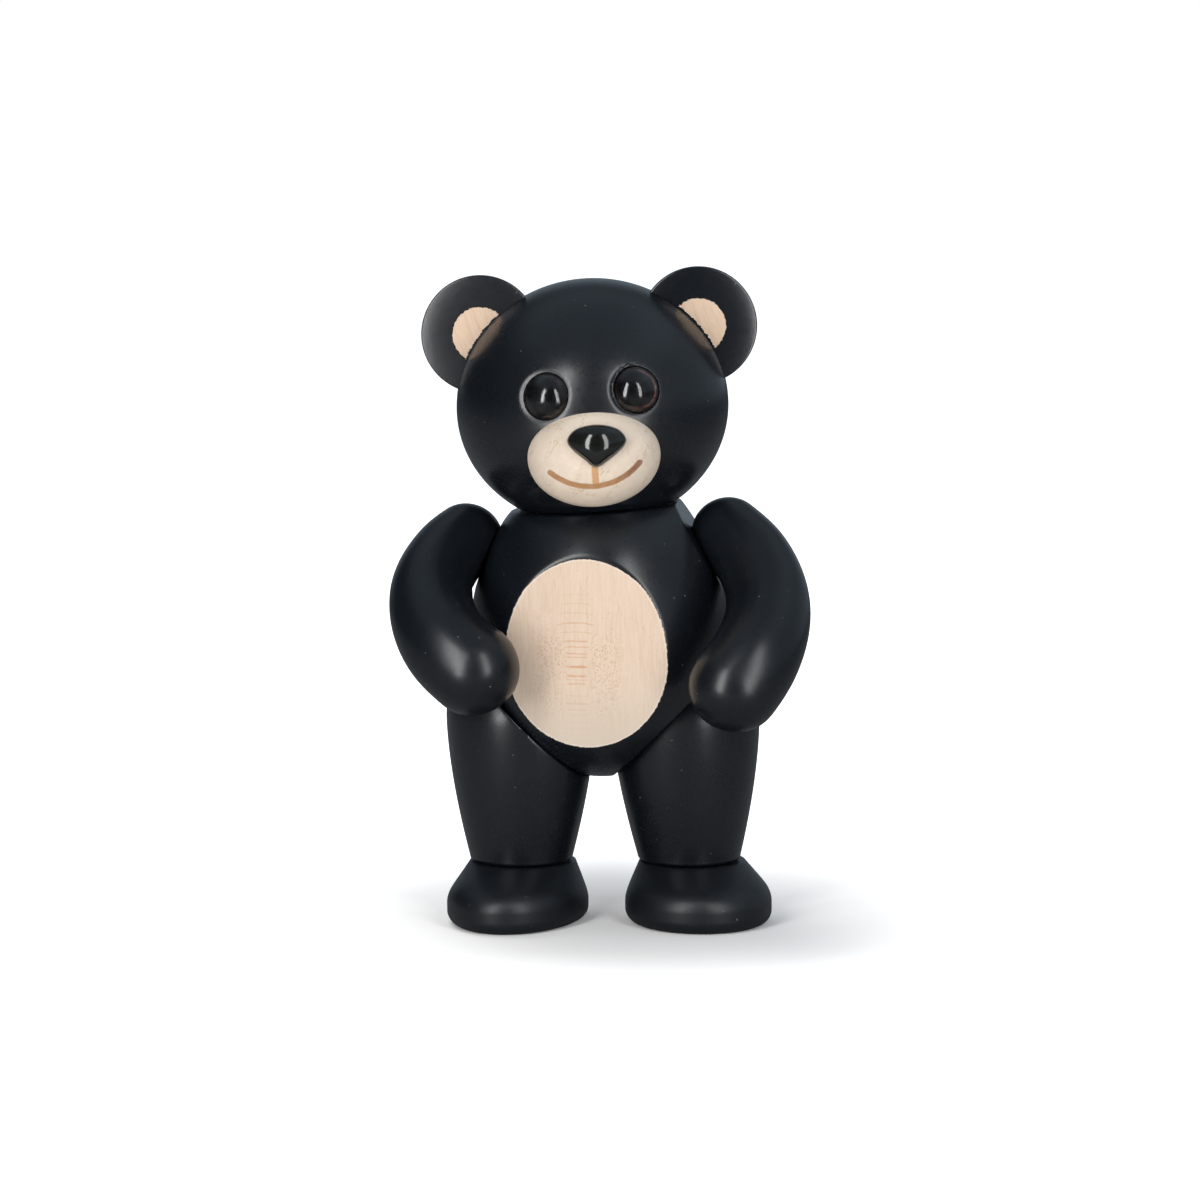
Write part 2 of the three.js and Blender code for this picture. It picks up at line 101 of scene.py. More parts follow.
# Eyes
EYE_BALL_RADIUS = 5.8
EYE_DOME = 3.4
EYE_BODY = 1.6
EYE_DISH_RADIUS = 6.4
EYE_DISH_SOFTNESS = 0.28
EYE_DISH_RISE = 0.35
EYE_GAP = 0.12
EYE_WALL = 0.08
EYE_ARC_RADIUS = 3.75
EYE_UPWARD = 11
LEFT_EYE = ((10.03, -28.04, 5.15), 18)
RIGHT_EYE = ((-10, -28.12, 4.95), -21)
BEAD_SIZE = 0.36
BEAD_THICKEST = 115
BEAD_LUMPS = 60
BEAD_RINGS = 276
BEAD_SIDES = 14

# Torso
TORSO_RADIUS = 30
TORSO_WIDEST = 66
TORSO_ABOVE = 38
TORSO_BELOW = 33.2
TORSO_FULLNESS = 2.1
NECK_AT = (-0.3, 0, 95.1)
BELLY_AT = (0, -23.4, 62)
BELLY_LEAN = 5.4
BELLY_TURN = -1.8
# Depth below the side of the egg for each millimetre along the flat of the belly
BELLY_SLOPE = 0.64
# How far behind the flat of the belly its bare wood may still show
BELLY_PAINT_REACH = 0.4
LEFT_SHOULDER = {"at": (25.3, 0, 82.7), "lean": 30}
RIGHT_SHOULDER = {"at": (-26.1, 0, 82.7), "lean": 22}
HIP_APEX = 30.2
HIP_LEAN = -45

# Arms
ARM_SHOULDER_RADIUS = 8.03
ARM_HAND_RADIUS = 10.93
LEFT_ARM_LINE = (
    (23.6, 4.1, 93), (35.4, -7.5, 83.8), (39.6, -16.6, 74.4), (37.4, -27, 64.1), (27.2, -32.9, 50.7),
)
RIGHT_ARM_LINE = (
    (-26.4, 2.7, 90.6), (-34.1, -9.2, 84), (-36.2, -21.1, 76.1), (-30.7, -32.6, 66.6),
    (-16.3, -36.6, 56.1),
)

# Legs and feet
LEG_BOTTOM = 13.3
LEG_BOTTOM_RADIUS = 11.9
LEG_RADIUS = 17.2
LEG_WIDEST = 47
LEG_DOME = 21
LEG_EDGE = 1
LEG_TAPER_POWER = 1.6
LEFT_LEG = (20.6, -1.9)
RIGHT_LEG = (-18.1, 0)
FOOT_EDGE = 3
FOOT = {
    "Height": 13.0, "Heel": 13.5, "Ankle": 12.2, "Round_Reach": 0.24,
    "Side_Slope": 4.5, "Side_Wall": 4.6, "Side_Round": 0.15,
    "Front_Slope": 13.8, "Front_Wall": 4.9, "Front_Round": 0.48,
}
# Each foot: how far outside its leg, its turn, and its size
LEFT_FOOT = (0.7, 10.2, {"Half_Width": 16.7, "Toe": 25.6, "Forward": 7.5})
RIGHT_FOOT = (0.35, -14.7, {"Half_Width": 15.9, "Toe": 26.6, "Forward": 3.3})

# Round of the edge where a flat meets a turned surface, and gaps between pieces that touch
SOFT_EDGE = 0.3
FITTING_GAP = 0.05
HIP_GAP = 0.1
WELD_DISTANCE = 1e-4

# Steps round a piece, finest where its outline is longest
ROUND_HEAD = 384
ROUND_TORSO = 340
ROUND_LIMB = 192
ROUND_EAR = 160
ROUND_BAR = 128
ROUND_EYE = 128
ROUND_CUTTER = 96

# The mouth, burnt into the muzzle, in the muzzle's own frame
SMILE_CENTRE = (-0.55, 12.2)
SMILE_RADIUS = 15.72
SMILE_ENDS = (-36.0, 42.0)
SMILE_WIDTH = 1.4
PHILTRUM_X = 0.1
PHILTRUM_FOOT = -3.2
PHILTRUM_TOP = 2.0
PHILTRUM_WIDTH = 1.45
BURN_BLUR = 0.16
BURN_DEPTH = 0.05
PHILTRUM_COLOR = (0.41, 0.20, 0.07, 1)
SMILE_COLOR = (0.30, 0.145, 0.052, 1)
SMILE_DARK_COLOR = (0.19, 0.072, 0.028, 1)

# Marks across the belly, each (height, half thickness, half width, bow, strength), and its pores
RUNG_CENTRE = -2.9
RUNGS = (
    (77.6, 0.18, 3.2, 0.03, 0.22), (75.5, 0.18, 3.6, 0.03, 0.28), (73.4, 0.18, 3.8, 0.03, 0.32),
    (71.1, 0.24, 4.2, 0.03, 0.5), (69.0, 0.2, 3.4, 0.02, 0.32), (66.9, 0.26, 2.6, 0.01, 0.55),
    (65.6, 0.24, 2.8, 0.01, 0.5), (64.0, 0.28, 2.3, 0.0, 0.6), (63.2, 0.22, 2.4, 0.0, 0.5),
    (61.0, 0.36, 2.3, 0.0, 0.9), (58.9, 0.32, 2.3, 0.0, 0.78), (58.0, 0.2, 2.5, 0.0, 0.45),
    (57.1, 0.26, 2.1, 0.0, 0.65), (54.3, 0.2, 2.7, -0.01, 0.45), (52.5, 0.26, 2.5, -0.01, 0.58),
    (51.1, 0.22, 2.2, -0.01, 0.5), (49.9, 0.2, 3.0, -0.02, 0.4), (48.2, 0.18, 3.2, -0.02, 0.32),
    (46.7, 0.2, 3.4, -0.02, 0.36), (45.3, 0.18, 3.0, -0.03, 0.3),
)
PORE_CENTRE = (-2.6, 58.5)
PORE_BAND = 6.2
RUNG_COLOR = (0.47, 0.235, 0.115, 1)
PORE_COLOR = (0.40, 0.24, 0.145, 1)

# Paint
PAINT_COLOR = (0.0042, 0.0056, 0.0078, 1)
DUST_COLOR = (0.11, 0.115, 0.125, 1)
PAINT_GLOSS = 0.29
LEFT_EAR_GLOSS = 0.22
RIGHT_EAR_GLOSS = 0.3
PAINT_THICKNESS = 0.05
PAINT_EDGE_BLUR = 0.03
EAR_PAINT_OVERLAP = 0.15
LACQUER_DARK = (0.004, 0.0045, 0.004, 1)
LACQUER_LIGHT = (0.010, 0.011, 0.009, 1)
LACQUER_FOOT_COLOR = (0.17, 0.14, 0.105, 1)

# Bare wood
MAPLE_LIGHT = (0.56, 0.435, 0.335, 1)
MAPLE_DARK = (0.42, 0.29, 0.19, 1)
# Painted shade: the belly's wood turns darker and greyer towards its bottom
BELLY_PAINTED_SHADE_COLOR = (0.45, 0.375, 0.30, 1)
# Pale rim along the cut of the belly: a painted edge highlight
BELLY_EDGE_HIGHLIGHT_COLOR = (0.66, 0.59, 0.51, 1)
EAR_LIGHT = (0.57, 0.42, 0.305, 1)
EAR_DARK = (0.43, 0.29, 0.19, 1)
# Pale rim along the cut of each ear: a painted edge highlight
EAR_EDGE_HIGHLIGHT_COLOR = (0.72, 0.60, 0.47, 1)
MUZZLE_LIGHT = (0.55, 0.465, 0.37, 1)
MUZZLE_DARK = (0.41, 0.32, 0.23, 1)
MUZZLE_CLOUD_COLOR = (0.50, 0.405, 0.325, 1)
# Painted light: the muzzle turns paler towards its top and a little towards its right
MUZZLE_PAINTED_LIGHT_COLOR = (0.63, 0.535, 0.435, 1)
MUZZLE_FLECK_COLOR = (0.42, 0.30, 0.205, 1)
MUZZLE_CRACK_COLOR = (0.33, 0.22, 0.135, 1)

# Glass eyes
EYE_GLASS = {
    "Base Color": (0.97, 0.96, 0.95, 1), "Roughness": 0.28, "IOR": 1.5, "Transmission Weight": 1.0,
    "Specular Tint": (0.06, 0.06, 0.06, 1),
    "Coat Weight": 1.0, "Coat Roughness": 0.08, "Coat IOR": 1.5,
}
# Each eye's brown arc: its direction in degrees, how narrow it is from 0 to 1, and its colour
LEFT_ARC = (-12, 0.05, (0.21, 0.075, 0.055, 1))
RIGHT_ARC = (40, 0.7, (0.03, 0.015, 0.01, 1))

# Studio: brightness, and sizes and places in metres
FLOOR_HALF = 25.0
FLOOR_WHITE = (0.88, 0.86, 0.84, 1)
FLOOR_BRIGHT = (0.92, 0.9, 0.876, 1)
FLOOR_MIRRORED = (0.25, 0.25, 0.25, 1)
FLOOR_GLOW = 0.07
FLOOR_SHADOW_X = 0.006
FLOOR_SHADOW_SPAN = (0.028, 0.145)
ROOM_DIM = 0.02
ROOM_RIGHT = 0.39
ROOM_BACK = 0.44
ROOM_TOP = 0.34
ROOM_COLOR = (0.72, 0.86, 1.0, 1)
# The right one of two tall strips in front of the bear, and a soft lamp high behind it
STRIP_FOOT = (0.225, -0.33, 0.0)
STRIP_TOP = (0.17, -0.36, 0.43)
STRIP_WIDTH = 0.094
LEFT_STRIP_RADIANCE = 12
RIGHT_STRIP_RADIANCE = 8
BACK_LAMP_AT = (-0.36, 0.36, 1.09)
BACK_LAMP_SIZE = 0.85
BACK_LAMP_RADIANCE = 3.5

# Camera: about 1 m in front of the bear and a little above it
CAMERA_DISTANCE = 1000
CAMERA_HEIGHT = 197
CAMERA_DOWN = 7.05
CAMERA_LENS = 131.9


# Frames

def turn_by(degrees, axis):
    return Matrix.Rotation(math.radians(degrees), 4, axis)


def placed(at, yaw=0.0, roll=0.0):
    return Matrix.Translation(at) @ turn_by(yaw, "Z") @ turn_by(-roll, "Y")


def facing(at, lean=0.0, outward=0.0, roll=0.0):
    """Turns a shape that looks up so that it looks forward and outward from its place on the head."""
    turn = turn_by(outward, "Z") @ turn_by(lean, "X") @ turn_by(-roll, "Y") @ turn_by(90, "X")
    return Matrix.Translation(at) @ turn


figure = placed(FIGURE_AT)
head_frame = figure @ placed(HEAD_CENTRE, roll=HEAD_ROLL)
torso_frame = figure @ placed((TORSO_AXIS_X, 0, 0), yaw=TORSO_YAW)


# Node trees

def reckoned(operation, swapped=False):
    """An operator that adds a math node, with the two values in reading order."""
    def work(value, other):
        return value.tree.math(operation, *((other, value) if swapped else (value, other)))
    return work


class Value:
    """What one output of a node gives; arithmetic and comparison with it add math nodes."""

    def __init__(self, tree, socket):
        self.tree, self.socket = tree, socket

    def __abs__(self):
        return self.tree.math("ABSOLUTE", self)

    __add__, __radd__ = reckoned("ADD"), reckoned("ADD", swapped=True)
    __sub__, __rsub__ = reckoned("SUBTRACT"), reckoned("SUBTRACT", swapped=True)
    __mul__, __rmul__ = reckoned("MULTIPLY"), reckoned("MULTIPLY", swapped=True)
    __truediv__, __pow__ = reckoned("DIVIDE"), reckoned("POWER")
    __lt__, __gt__ = reckoned("LESS_THAN"), reckoned("GREATER_THAN")


class Outputs:
    """The outputs of a node, by name or number."""

    def __init__(self, tree, node):
        self.tree, self.sockets = tree, node.outputs

    def __getitem__(self, key):
        return Value(self.tree, self.sockets[key])


class Tree:
    """A node tree under construction, for shapes or for materials."""

    def __init__(self, owner):
        self.nodes, self.links = owner.nodes, owner.links

    def feed(self, socket, value):
        if isinstance(value, Value):
            self.links.new(value.socket, socket)
        else:
            socket.default_value = value

    def add(self, kind, inputs=None, **settings):
        """Adds a node, with inputs by name or number, and returns its outputs."""
        node = self.nodes.new(kind)
        for name, value in settings.items():
            setattr(node, name, value)
        for key, value in (inputs or {}).items():
            if isinstance(key, str):
                socket = next(s for s in node.inputs if s.name == key and s.enabled)
            else:
                socket = node.inputs[key]
            self.feed(socket, value)
        return Outputs(self, node)

    def math(self, operation, *values, clamp=False):
        inputs = dict(enumerate(values))
        return self.add("ShaderNodeMath", inputs, operation=operation, use_clamp=clamp)[0]

    def vector(self, operation, *values):
        outputs = self.add("ShaderNodeVectorMath", dict(enumerate(values)), operation=operation)
        return outputs["Value" if operation in ("DOT_PRODUCT", "LENGTH") else "Vector"]

    def length(self, x, y, z=0.0):
        return self.vector("LENGTH", self.joined(x, y, z))

    def scaled(self, vector, factor):
        inputs = {0: vector, "Scale": factor}
        return self.add("ShaderNodeVectorMath", inputs, operation="SCALE")["Vector"]

    def stretched(self, vector, x, y, z):
        return self.vector("MULTIPLY", vector, (x, y, z))

    def turned(self, vector, x=0.0, y=0.0, z=0.0):
        """A pattern's place, turned by degrees about the axes."""
        degrees = tuple(math.radians(angle) for angle in (x, y, z))
        return self.add("ShaderNodeMapping", {"Vector": vector, "Rotation": degrees})[0]

    def parts(self, vector):
        outputs = self.add("ShaderNodeSeparateXYZ", {0: vector})
        return outputs[0], outputs[1], outputs[2]

    def joined(self, x, y, z):
        return self.add("ShaderNodeCombineXYZ", {0: x, 1: y, 2: z})[0]

    def ramp(self, value, low, high, low_out=0.0, high_out=1.0, smooth=True):
        """Maps a span of values to another, clamped at its ends."""
        inputs = dict(enumerate((value, low, high, low_out, high_out)))
        kind = "SMOOTHSTEP" if smooth else "LINEAR"
        return self.add("ShaderNodeMapRange", inputs, interpolation_type=kind)["Result"]

    def fade(self, value, low, high):
        return self.ramp(value, low, high, 1.0, 0.0)

    def noise(self, vector, scale, detail=2.0, roughness=0.5, output="Fac"):
        inputs = {"Vector": vector, "Scale": scale, "Detail": detail, "Roughness": roughness}
        return self.add("ShaderNodeTexNoise", inputs)[output]

    def cells(self, vector, scale=1.0):
        """Distance to the nearest of many scattered points, and a chance value for each."""
        outputs = self.add("ShaderNodeTexVoronoi", {"Vector": vector, "Scale": scale})
        return outputs["Distance"], self.parts(outputs["Color"])[0]

    def local(self, place):
        """Millimetres in a piece's own frame."""
        at, turn, _ = place.decompose()
        return self.add("ShaderNodeMapping", {
            "Vector": self.add("ShaderNodeTexCoord")["Object"],
            "Location": at * MM, "Rotation": turn.to_euler(), "Scale": (MM, MM, MM),
        }, vector_type="TEXTURE")[0]

    def shared(self, group, **inputs):
        """Places a group that several finishes share."""
        return self.add("ShaderNodeGroup", inputs, node_tree=group)

    def mixed(self, factor, one, other):
        return self.add("ShaderNodeMix", {0: factor, 6: one, 7: other}, data_type="RGBA")[2]


class Group(Tree):
    """A node group under construction, with the defaults or kinds of its inputs and outputs."""

    def __init__(self, name, kind, inputs, outputs):
        self.group = bpy.data.node_groups.new(name, kind)
        super().__init__(self.group)
        for side, sockets in (("INPUT", inputs), ("OUTPUT", outputs)):
            for socket_name, default in sockets.items():
                kind = default if isinstance(default, str) else kind_of(default)
                socket = self.group.interface.new_socket(
                    socket_name, in_out=side, socket_type="NodeSocket" + kind)
                if kind != default:
                    socket.default_value = default
        self.given = self.add("NodeGroupInput")
        self.results = self.nodes.new("NodeGroupOutput").inputs

    def __getitem__(self, name):
        return self.given[name]

    def giving(self, **values):
        """Feeds the group's outputs and returns the finished group."""
        for name, value in values.items():
            self.feed(self.results[name], value)
        return self.group


def kind_of(default):
    if isinstance(default, tuple):
        return "Vector" if len(default) == 3 else "Color"
    return "Int" if isinstance(default, int) else "Float"


class Shape(Group):
    """A shaping step for pieces under construction."""

    def __init__(self, name, **inputs):
        inputs = {key.replace("_", " "): value for key, value in inputs.items()}
        everything = {"Geometry": "Geometry", **inputs, "Material": "Material"}
        super().__init__(name, "GeometryNodeTree", everything, {"Geometry": "Geometry"})

    def changed(self, kind, geometry, **inputs):
        return self.add(kind, {"Geometry": geometry, **inputs})[0]

    def moving(self, geometry, weld=False, **change):
        """Ends the step with every point of the geometry moved."""
        return self.ending(self.changed("GeometryNodeSetPosition", geometry, **change), weld)

    def ending(self, geometry, weld=False):
        if weld:
            geometry = self.changed("GeometryNodeMergeByDistance", geometry, Distance=WELD_DISTANCE)
        whole = self.changed("GeometryNodeRealizeInstances", geometry)
        smooth = self.changed("GeometryNodeSetShadeSmooth", whole)
        return self.giving(
            Geometry=self.changed("GeometryNodeSetMaterial", smooth, Material=self["Material"]))


def ring_grid(tree):
    """A grid with a row for each given point: the grid, the angle round it, and the row's point."""
    points = {"Geometry": tree["Geometry"]}
    count = tree.add("GeometryNodeAttributeDomainSize", points)["Point Count"]
    grid = tree.add("GeometryNodeMeshGrid", {
        "Size X": 1.0, "Size Y": 1.0, "Vertices X": tree["Around"] + 1, "Vertices Y": count,
    })["Mesh"]
    place = tree.add("GeometryNodeInputPosition")[0]
    across, up, _ = tree.parts(place)
    row = tree.math("ROUND", (up + 0.5) * (count - 1))
    point = tree.add("GeometryNodeSampleIndex", {
        **points, "Value": place, "Index": row,
    }, data_type="FLOAT_VECTOR", domain="POINT")[0]
    return grid, (across + 0.5) * (2 * math.pi), point


def turned_piece():
    """Turns a row of points, as (radius, 0, height) going up, about the vertical axis."""
    tree = Shape("Turned Piece", Around=192)
    grid, angle, point = ring_grid(tree)
    radius, _, height = tree.parts(point)
    spot = tree.joined(radius * tree.math("COSINE", angle), radius * tree.math("SINE", angle), height)
    return tree.moving(grid, weld=True, Position=spot)


def planed_flat():
    """Planes a flat on a piece and rounds the edge of the flat a little."""
    tree = Shape("Planed Flat", At=(0, 0, 0), Facing=(0, 0, 1), Softness=SOFT_EDGE)
    place = tree.vector("SUBTRACT", tree.add("GeometryNodeInputPosition")[0], tree["At"])
    beyond = tree.vector("DOT_PRODUCT", place, tree["Facing"])
    level = tree.math("SMOOTH_MIN", beyond, 0.0, tree["Softness"])
    return tree.moving(tree["Geometry"], Offset=tree.scaled(tree["Facing"], level - beyond))


def eye_socket():
    """Sinks a shallow dish around an eye, with a soft lip where it runs out into the head."""
    tree = Shape(
        "Eye Socket", At=(0, 0, 0), Facing=(0, -1, 0), Rim=5.3, Dish=7.4, Rise=0.35, Softness=0.8)
    place = tree.vector("SUBTRACT", tree.add("GeometryNodeInputPosition")[0], tree["At"])
    height = tree.vector("DOT_PRODUCT", place, tree["Facing"])
    radius = tree.vector("LENGTH", tree.vector("SUBTRACT", place, tree.scaled(tree["Facing"], height)))
    outside = tree.math("MAXIMUM", radius - tree["Rim"], 0.0)
    dish = tree["Rise"] * (outside / (tree["Dish"] - tree["Rim"])) ** 2.0
    level = tree.math("SMOOTH_MIN", height, dish, tree["Softness"])
    return tree.moving(tree["Geometry"], Offset=tree.scaled(tree["Facing"], level - height))


def bent_bar():
    """Sweeps a round bar with full round ends along a line of points, thicker towards its end."""
    tree = Shape("Bent Bar", Start_Radius=9.0, End_Radius=11.0, Around=128)
    line = tree.add("GeometryNodeMeshToCurve", {"Mesh": tree["Geometry"]})[0]
    along = tree.add("GeometryNodeSplineParameter")
    length = tree.add("GeometryNodeSplineLength")["Length"]
    start, end = tree["Start Radius"], tree["End Radius"]

    def end_share(distance, radius):
        short = 1.0 - tree.math("MINIMUM", distance / radius, 1.0)
        return tree.math("SQRT", tree.math("MAXIMUM", 1.0 - short ** 2.0, 0.0))

    radius = along["Factor"] * (end - start) + start
    radius = radius * end_share(along["Length"], start) * end_share(length - along["Length"], end)
    circle = {"Resolution": tree["Around"], "Radius": 1.0}
    ring = tree.add("GeometryNodeCurvePrimitiveCircle", circle)[0]
    sweep = {"Curve": line, "Profile Curve": ring, "Scale": radius}
    return tree.ending(tree.add("GeometryNodeCurveToMesh", sweep)[0], weld=True)


def shoe():
    """A shoe from rows of (share of the way to the ankle, inset, height); a share of -1 is sole."""
    tree = Shape(
        "Shoe", Half_Width=16.0, Toe=27.0, Heel=13.5, Ankle=12.2, Forward=5.0, Height=13.0,
        Side_Slope=4.5, Side_Wall=5.0, Side_Round=0.1, Front_Slope=14.7, Front_Wall=3.2,
        Front_Round=0.6, Round_Reach=0.26, Around=192)
    grid, angle, point = ring_grid(tree)
    row_share, inset, sole_height = tree.parts(point)
    share = tree.math("MAXIMUM", row_share, 0.0)
    across, along = tree.math("COSINE", angle), tree.math("SINE", angle)
    half_width, ankle, forward = tree["Half Width"], tree["Ankle"], tree["Forward"]
    toe, heel = tree["Toe"] - forward, tree["Heel"] + forward
    length = (toe - heel) * (along < 0.0) + heel

    def ring(half_width, half_length, forward):
        return tree.joined(half_width * across, half_length * along - forward, 0.0)

    def drawn_in(size):
        return tree.math("MAXIMUM", size - inset, 0.0)

    way = tree.vector("SUBTRACT", ring(ankle, ankle, 0.0), ring(half_width, length, forward))
    slope = tree.vector("LENGTH", way) - tree["Side Slope"]
    to_toe = tree.ramp(slope / (tree["Front Slope"] - tree["Side Slope"]), 0.0, 1.0)

    def towards_toe(size):
        side = tree["Side " + size]
        return (tree["Front " + size] - side) * to_toe + side

    wall = towards_toe("Wall")
    dying_round = tree.math("SQRT", 1.0 - tree.math("EXPONENT", share * -2.0 / tree["Round Reach"]))
    rise = towards_toe("Round") * (dying_round - share) + share
    top = (tree["Height"] - wall) * rise + wall
    height = (top - sole_height) * (row_share > -0.5) + sole_height
    outer = ring(drawn_in(half_width), drawn_in(length), forward)
    inner = ring(drawn_in(ankle), drawn_in(ankle), 0.0)
    spot = tree.vector("ADD", outer, tree.scaled(tree.vector("SUBTRACT", inner, outer), share))
    spot = tree.vector("ADD", spot, tree.joined(0.0, 0.0, height))
    return tree.moving(grid, weld=True, Position=spot)


TURNED_PIECE, PLANED_FLAT, EYE_SOCKET, BENT_BAR, SHOE = (
    turned_piece(), planed_flat(), eye_socket(), bent_bar(), shoe())


# Making pieces

def new_object(name, points, faces=(), edges=()):
    mesh = bpy.data.meshes.new(name)
    mesh.from_pydata([tuple(map(float, p)) for p in points], list(edges), list(faces))
    piece = bpy.data.objects.new(name, mesh)
    bpy.context.scene.collection.objects.link(piece)
    return piece


def shaped(piece, group, material, **values):
    """Adds one shaping step to a piece; `End_Radius` stands for the step's input End Radius."""
    step = piece.modifiers.new(group.name, "NODES")
    step.node_group = group
    sockets = {
        item.name: item.identifier for item in group.interface.items_tree
        if item.item_type == "SOCKET" and item.in_out == "INPUT"
    }
    for name, value in dict(values, Material=material).items():
        step[sockets[name.replace("_", " ")]] = value


def made(piece):
    """Turns a piece's shaping steps into its plain mesh."""
    bpy.context.view_layer.update()
    depsgraph = bpy.context.evaluated_depsgraph_get()
    mesh = bpy.data.meshes.new_from_object(piece.evaluated_get(depsgraph), depsgraph=depsgraph)
    piece.modifiers.clear()
    piece.data = mesh
    mesh.name = piece.name
    return piece


def closed(piece):
    """Closes the open ends of a piece with flat faces."""
    shell = bmesh.new()
    shell.from_mesh(piece.data)
    bmesh.ops.holes_fill(shell, edges=[e for e in shell.edges if e.is_boundary])
    bmesh.ops.recalc_face_normals(shell, faces=shell.faces)
    shell.to_mesh(piece.data)
    shell.free()


def carved(piece, cutter):
    """Takes the cutter's shape out of the piece."""
    cut = piece.modifiers.new("Carved", "BOOLEAN")
    cut.operation = "DIFFERENCE"
    cut.solver = "EXACT"
    cut.object = cutter
    made(piece)
    bpy.data.objects.remove(cutter)


def dressed(piece, node, material, place, crease=35.0):
    """Puts a finished piece in its place on the bear, in metres, with its finish."""
    mesh = piece.data
    mesh.transform(Matrix.Scale(MM, 4) @ place)
    mesh.materials.clear()
    mesh.materials.append(material)
    mesh.shade_smooth()
    mesh.set_sharp_from_angle(angle=math.radians(crease))
    mesh.update()
    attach(piece, "root")
    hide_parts(node)


def spaced(start, end, count):
    return [start + (end - start) * i / count for i in range(count + 1)]


def quarter(radius, height, edge, start, end, steps=10):
    """A quarter round between a face and a rim, as (radius, height) pairs."""
    return [
        (radius + edge * math.cos(a), height + edge * math.sin(a))
        for a in spaced(math.radians(start), math.radians(end), steps)
    ]


def turned(name, profile, around, material):
    """A turned piece from (radius, height) pairs that go up."""
    piece = new_object(name, [(max(radius, 0.0), 0.0, height) for radius, height in profile])
    shaped(piece, TURNED_PIECE, material, Around=around)
    return piece


def filled(profile, step):
    """Adds points to the straight stretches of a profile, so that none is longer than the step."""
    points = [profile[0]]
    for (r0, h0), (r1, h1) in zip(profile, profile[1:]):
        pieces = max(1, math.ceil(math.hypot(r1 - r0, h1 - h0) / step))
        points += zip(spaced(r0, r1, pieces)[1:], spaced(h0, h1, pieces)[1:])
    return points


# Ball and egg

def head_profile(extra=0.0, edge=0.0):
    """Side of the head's ball, `extra` larger all round, from the flat of the neck to the top."""
    start = math.asin(-HEAD_NECK_DROP / HEAD_BELOW)
    side = []
    for angle in spaced(start, math.pi / 2, 190):
        drop = HEAD_BELOW if angle < 0 else HEAD_ABOVE
        side.append(((HEAD_RADIUS + extra) * math.cos(angle), (drop + extra) * math.sin(angle)))
    radius, height = side[0]
    if edge:
        side = [(r, h) for r, h in side if h > height + edge]
        side = quarter(radius - edge * 0.2, height + edge, edge, -90, -25) + side
    return filled([(0.0, height)] + side, 0.8)


def head_ball(extra):
    """A cutter in the shape of the head's ball."""
    return made(turned("ball", head_profile(extra), ROUND_LIMB, None))


def eye_place(eye):
    """Where an eye sits on the head, with its dome looking outward and a little up."""
    at, outward = eye
    return facing(at, -EYE_UPWARD, outward)


EYE_RIM = math.sqrt(EYE_BALL_RADIUS ** 2 - (EYE_BALL_RADIUS - EYE_DOME) ** 2)


def ball_height(point, direction):
    """How far a point has to move along a direction to lie on the ball of the head."""
    scale = Vector((1 / HEAD_RADIUS, 1 / HEAD_RADIUS, 1 / HEAD_ABOVE))
    p, d = point * scale, direction * scale
    half = p.dot(d)
    return (-half + math.sqrt(half * half - d.dot(d) * (p.dot(p) - 1))) / d.dot(d)


def make_head(material):
    head = turned("head_ball", head_profile(edge=HEAD_EDGE), ROUND_HEAD, material)
    for eye in (LEFT_EYE, RIGHT_EYE):
        looking = eye_place(eye).to_3x3() @ Vector((0, 0, 1))
        shaped(
            head, EYE_SOCKET, material, At=eye[0], Facing=tuple(looking), Rim=EYE_RIM,
            Dish=EYE_DISH_RADIUS, Rise=EYE_DISH_RISE, Softness=EYE_DISH_SOFTNESS)
    made(head)
    wide, deep = EYE_RIM + EYE_GAP, EYE_BODY + EYE_GAP
    for eye in (LEFT_EYE, RIGHT_EYE):
        pocket = [(0, -deep), (wide, -deep), (wide, 8), (0, 8)]
        plug = made(turned("eye_pocket", pocket, ROUND_CUTTER, None))
        plug.data.transform(eye_place(eye))
        carved(head, plug)
    dressed(head, "head", material, head_frame)


def make_ear(name, at, material):
    inner = EAR_RADIUS - EAR_EDGE
    pocket = EAR_FRONT + EAR_PATCH_DEPTH
    back = EAR_FRONT + EAR_THICKNESS
    profile = [(0.0, pocket), (EAR_PATCH_RADIUS, pocket)]
    profile += [
        (radius, EAR_FRONT + EAR_CROWN * (radius / EAR_RADIUS) ** EAR_CROWN_POWER)
        for radius in spaced(EAR_PATCH_RADIUS, EAR_RADIUS - EAR_FRONT_EDGE, 30)
    ]
    lip = EAR_FRONT + EAR_CROWN + EAR_FRONT_EDGE * 0.9
    profile += quarter(EAR_RADIUS - EAR_FRONT_EDGE, lip, EAR_FRONT_EDGE, -70, 0)
    profile += quarter(inner, back - EAR_EDGE, EAR_EDGE, 0, 90)
    profile += [(0.0, back)]
    disc = made(turned(name, filled(profile, 0.6), ROUND_EAR, material))
    disc.data.transform(Matrix.Translation((at[0], 0, at[1])) @ turn_by(-90, "X"))
    carved(disc, head_ball(FITTING_GAP))
    dressed(disc, name.replace("_disc", ""), material, head_frame)


# Muzzle and nose

def skinned(name, rows, first, last):
    """A closed skin from a point over rings of points to another point."""
    around = len(rows[0])
    points = [first] + [p for row in rows for p in row] + [last]
    top = len(points) - 1

    def at(row, side):
        return 1 + row * around + side % around

    faces = []
    for side in range(around):
        faces.append((0, at(0, side + 1), at(0, side)))
        for row in range(len(rows) - 1):
            faces.append((at(row, side), at(row, side + 1), at(row + 1, side + 1), at(row + 1, side)))
        faces.append((top, at(len(rows) - 1, side), at(len(rows) - 1, side + 1)))
    return new_object(name, points, faces)


